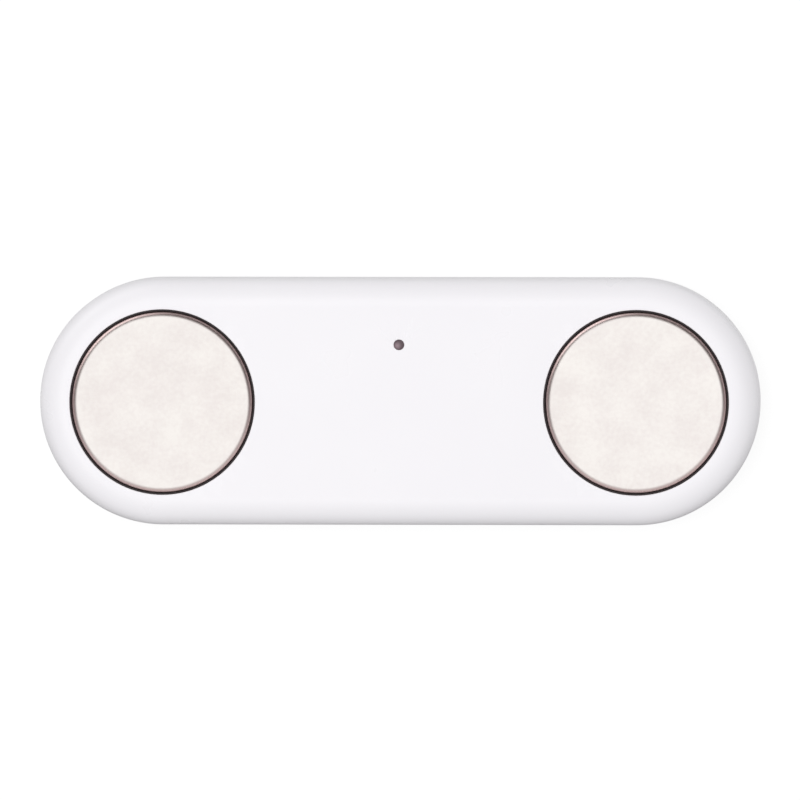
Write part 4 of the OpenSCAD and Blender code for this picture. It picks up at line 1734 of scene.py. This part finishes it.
@dataclass
class Studio:
    """White paper floor, soft light from overhead and a camera nearly straight over the face.

    The floor is open under the case, so that the back can be lit and seen from below.

    Attributes:
        outline: Outline of the case.
        foot_inset: Distance from the outline to where the case meets the floor, in millimetres.
        view_mm: Width of the view at the case, in millimetres: 800 pixels over 6.857 a millimetre.
        distance: Distance of the camera, in metres.
        clip: Nearest and furthest distance that it sees, in metres.
        lean: How far the camera leans towards +X and +Y, in degrees.
        aim_mm: The point that it looks at, in millimetres.
        sky: Light that comes evenly from all sides.
        sky_fall: What it is dimmer by in front, towards -Y.
        sky_below: Light that comes from under the floor, through its opening.
        horizon: Downward part of a direction over which the light goes from sky to sky_below.
        lamp_watts: Power of the overhead lamp.
        lamp_size: Its width, in metres.
        lamp_place: Where it hangs, in metres: a little towards the left end.
        overhead: Level of what a mirror shows overhead, where white is 1.
        overhead_from: Upward part of a direction from which a mirror begins to show it.
        room: Level of the room all round.
        front: What the room is brighter by in front, towards -Y.
        front_span: The Y parts of a direction at which it starts to brighten and is that bright.
        window: What it is brighter by at the window.
        window_way: Direction of the window.
        window_from: How nearly a direction points there where the window begins to show.
        floor_reach: Distance that the floor goes out to, in metres.
        floor_mm: Height of the floor, a hair below the case.
        paper: Lightness of the floor.
        paper_glow: Light that the floor gives of its own, as the camera sees it.
        paper_fill: Light that it gives to what stands on it.
        paper_mirrored: Level of the floor as mirrors show it, where white is 1.
        paper_front: The same in front of the case.
        front_mm: Place from which it is that dim, along Y.
    """

    outline: Stadium
    foot_inset: float
    view_mm: float = 800 / 6.857
    distance: float = 2.4
    clip: tuple[float, float] = (0.1, 20.0)
    lean: tuple[float, float] = (2.2, 2.5)
    aim_mm: tuple[float, float, float] = (-0.07, 0.11, 5.0)
    sky: float = 0.69
    sky_fall: float = 0.16
    sky_below: float = 0.62
    horizon: float = 0.05
    lamp_watts: float = 2.55
    lamp_size: float = 0.5
    lamp_place: tuple[float, float, float] = (-0.12, 0.06, 0.8)
    overhead: float = 1.1
    overhead_from: float = 0.7
    room: float = 0.1
    front: float = 0.48
    front_span: tuple[float, float] = (0.1, -0.6)
    window: float = 1.7
    window_way: tuple[float, float, float] = (-0.64, 0.77, -0.05)
    window_from: float = 0.72
    floor_reach: float = 6.0
    floor_mm: float = -0.02
    paper: float = 0.25
    paper_glow: float = 0.8
    paper_fill: float = 0.6
    paper_mirrored: float = 0.72
    paper_front: float = 0.1
    front_mm: float = -18.0

    def build(self) -> None:
        """Sets up the camera, the lights, the world and the floor."""
        scene = bpy.context.scene
        scene.view_settings.view_transform = "Standard"
        self._camera()
        self._lamp()
        self._world()
        self._floor()

    def _camera(self) -> None:
        """A long lens, so that the sides of the case hardly show."""
        camera = bpy.data.cameras.new("camera")
        camera.lens = camera.sensor_width * self.distance / (self.view_mm * MM)
        camera.clip_start, camera.clip_end = self.clip
        holder = bpy.data.objects.new("camera", camera)
        bpy.context.scene.collection.objects.link(holder)
        away = Vector([math.tan(math.radians(self.lean[0])), math.tan(math.radians(self.lean[1])), 1.0])
        away.normalize()
        holder.location = Vector(self.aim_mm) * MM + away * self.distance
        across = Vector((0, 1, 0)).cross(away).normalized()
        holder.rotation_euler = Matrix((across, away.cross(across), away)).transposed().to_euler()
        bpy.context.scene.camera = holder

    def _lamp(self) -> None:
        """One large soft lamp overhead. Mirrors show the world's white overhead in its place."""
        lamp = bpy.data.lights.new("softbox", "AREA")
        lamp.energy, lamp.size = self.lamp_watts, self.lamp_size
        holder = bpy.data.objects.new("softbox", lamp)
        bpy.context.scene.collection.objects.link(holder)
        holder.location = self.lamp_place
        holder.rotation_euler = (-Vector(self.lamp_place)).to_track_quat("-Z", "Y").to_euler()
        holder.visible_glossy = False

    def _world(self) -> None:
        """An even sky. The camera sees it as white, and mirrors see white overhead and a dimmer room."""
        world = bpy.data.worlds.new("studio")
        bpy.context.scene.world = world
        world.use_nodes = True
        tree = world.node_tree
        tree.nodes.clear()
        path = add_node(tree, "ShaderNodeLightPath").outputs
        direction = add_node(tree, "ShaderNodeTexCoord").outputs["Generated"]
        parts = add_node(tree, "ShaderNodeSeparateXYZ", links={"Vector": direction}).outputs
        upper = add_node(tree, "ShaderNodeMapRange",
                         {"From Min": 0.0, "From Max": -1.0, "To Min": self.sky,
                          "To Max": self.sky - self.sky_fall},
                         {"Value": parts["Y"]})
        even = add_node(tree, "ShaderNodeMapRange",
                        {"From Min": 0.0, "From Max": -self.horizon, "To Max": self.sky_below},
                        {"Value": parts["Z"], "To Min": upper.outputs["Result"]})
        mirrored = add_node(tree, "ShaderNodeMix", links={
            SHARE: path["Is Glossy Ray"],
            LEVEL_1: even.outputs["Result"],
            LEVEL_2: self._mirrored_room(tree, direction, parts),
        })
        # The camera sees the sky too through something clear
        seen = add_node(tree, "ShaderNodeMath", {"operation": "MAXIMUM"},
                        {0: path["Is Camera Ray"], 1: path["Is Transmission Ray"]})
        level = add_node(tree, "ShaderNodeMix", {LEVEL_2: 1.0},
                         {SHARE: seen.outputs["Value"], LEVEL_1: mirrored.outputs[MIXED_LEVEL]})
        light = add_node(tree, "ShaderNodeBackground", {"Color": (1, 1, 1, 1)},
                         {"Strength": level.outputs[MIXED_LEVEL]})
        add_node(tree, "ShaderNodeOutputWorld", links={"Surface": light.outputs["Background"]})

    def _mirrored_room(self, tree: Tree, direction: Socket, parts: bpy.types.NodeOutputs) -> Socket:
        """What mirrors see: white overhead, and round it a dim room with a window behind the left end.

        Args:
            tree: The world's node tree.
            direction: The direction in which the mirror looks.
            parts: Its X, Y and Z.

        Returns:
            The level of the light from there.
        """
        front = add_node(tree, "ShaderNodeMapRange",
                         {"From Min": self.front_span[0], "From Max": self.front_span[1],
                          "To Min": self.room, "To Max": self.room + self.front},
                         {"Value": parts["Y"]})
        facing = add_node(tree, "ShaderNodeVectorMath", {"operation": "DOT_PRODUCT", 1: self.window_way},
                          {0: direction})
        window = add_node(tree, "ShaderNodeMapRange",
                          {"interpolation_type": "SMOOTHSTEP", "From Min": self.window_from,
                           "To Max": self.window},
                          {"Value": facing.outputs["Value"]})
        room = add_node(tree, "ShaderNodeMath", {"operation": "ADD"},
                        {0: front.outputs["Result"], 1: window.outputs["Result"]})
        upwards = add_node(tree, "ShaderNodeMath", {"operation": "ABSOLUTE"}, {0: parts["Z"]})
        made = add_node(tree, "ShaderNodeMapRange",
                        {"interpolation_type": "SMOOTHSTEP", "From Min": self.overhead_from,
                         "To Max": self.overhead},
                        {"Value": upwards.outputs["Value"], "To Min": room.outputs["Value"]})
        return made.outputs["Result"]

    def _floor(self) -> None:
        """A white paper floor that keeps the shadow, as a ring from under the case outwards.

        Corner i of the inner outline joins corner i of the outer one, so each face is
        (inner i, outer i, outer i + 1, inner i + 1), which points upwards.
        """
        rings = self.outline.loft([(self.foot_inset, self.floor_mm),
                                   (-self.floor_reach / MM, self.floor_mm)])
        count = rings.shape[1]
        here = np.arange(count)
        after = (here + 1) % count
        faces = np.stack([here, count + here, count + after, after], axis=1)
        mesh = bpy.data.meshes.new("floor")
        mesh.from_pydata((rings.reshape(-1, 3) * MM).tolist(), [], faces.tolist())
        floor = bpy.data.objects.new("floor", mesh)
        bpy.context.scene.collection.objects.link(floor)
        mesh.materials.append(self._paper())

    def _paper(self) -> bpy.types.Material:
        """White paper that the camera sees as the background's white, and nothing sees from below.

        It lights the case evenly from below, and mirrors see it dimmer in front of the case.

        Returns:
            The material.
        """
        paper = bpy.data.materials.new("white_paper")
        paper.use_nodes = True
        tree = paper.node_tree
        tree.nodes.clear()
        path = add_node(tree, "ShaderNodeLightPath").outputs
        matt = add_node(tree, "ShaderNodeBsdfDiffuse", {"Color": (self.paper, self.paper, self.paper, 1)})
        glow = add_node(tree, "ShaderNodeEmission", {"Strength": self.paper_glow})
        sheet = add_node(tree, "ShaderNodeAddShader",
                         links={0: matt.outputs["BSDF"], 1: glow.outputs["Emission"]})
        place = add_node(tree, "ShaderNodeTexCoord").outputs["Object"]
        along = add_node(tree, "ShaderNodeSeparateXYZ", links={"Vector": place}).outputs["Y"]
        mirrored = add_node(tree, "ShaderNodeMapRange",
                            {"From Min": 0.0, "From Max": self.front_mm * MM,
                             "To Min": self.paper_mirrored, "To Max": self.paper_front},
                            {"Value": along})
        level = add_node(tree, "ShaderNodeMapRange", {"To Min": self.paper_fill},
                         {"Value": path["Is Glossy Ray"], "To Max": mirrored.outputs["Result"]})
        fill = add_node(tree, "ShaderNodeEmission", links={"Strength": level.outputs["Result"]})
        above = add_node(tree, "ShaderNodeMixShader", links={
            0: path["Is Camera Ray"],
            1: fill.outputs["Emission"],
            2: sheet.outputs["Shader"],
        })
        clear = add_node(tree, "ShaderNodeBsdfTransparent")
        below = add_node(tree, "ShaderNodeNewGeometry").outputs["Backfacing"]
        mix = add_node(tree, "ShaderNodeMixShader",
                       links={0: below, 1: above.outputs["Shader"], 2: clear.outputs["BSDF"]})
        add_node(tree, "ShaderNodeOutputMaterial", links={"Surface": mix.outputs["Shader"]})
        return paper


def main() -> None:
    """Builds the studio and then the monitor, piece by piece."""
    logging.basicConfig(level=logging.INFO, format="%(name)s: %(message)s")
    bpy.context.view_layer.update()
    workshop = Workshop()
    sizes = CaseSizes.from_frame()
    Studio(sizes.outline, sizes.back_edge).build()
    button = ButtonSizes.from_frame()
    lock = Bayonet(door_r=sizes.door_r)
    FrontCover(sizes, workshop, button).build()
    RearCover(sizes, workshop, button, lock).build()
    BatteryDoor(sizes, workshop, lock).build()
    SideButton(button, workshop).build()
    Electrodes(sizes, workshop).build()
    SmallTrim(sizes, workshop).build()
    workshop.dress_inside()


if __name__ == "__main__":
    main()
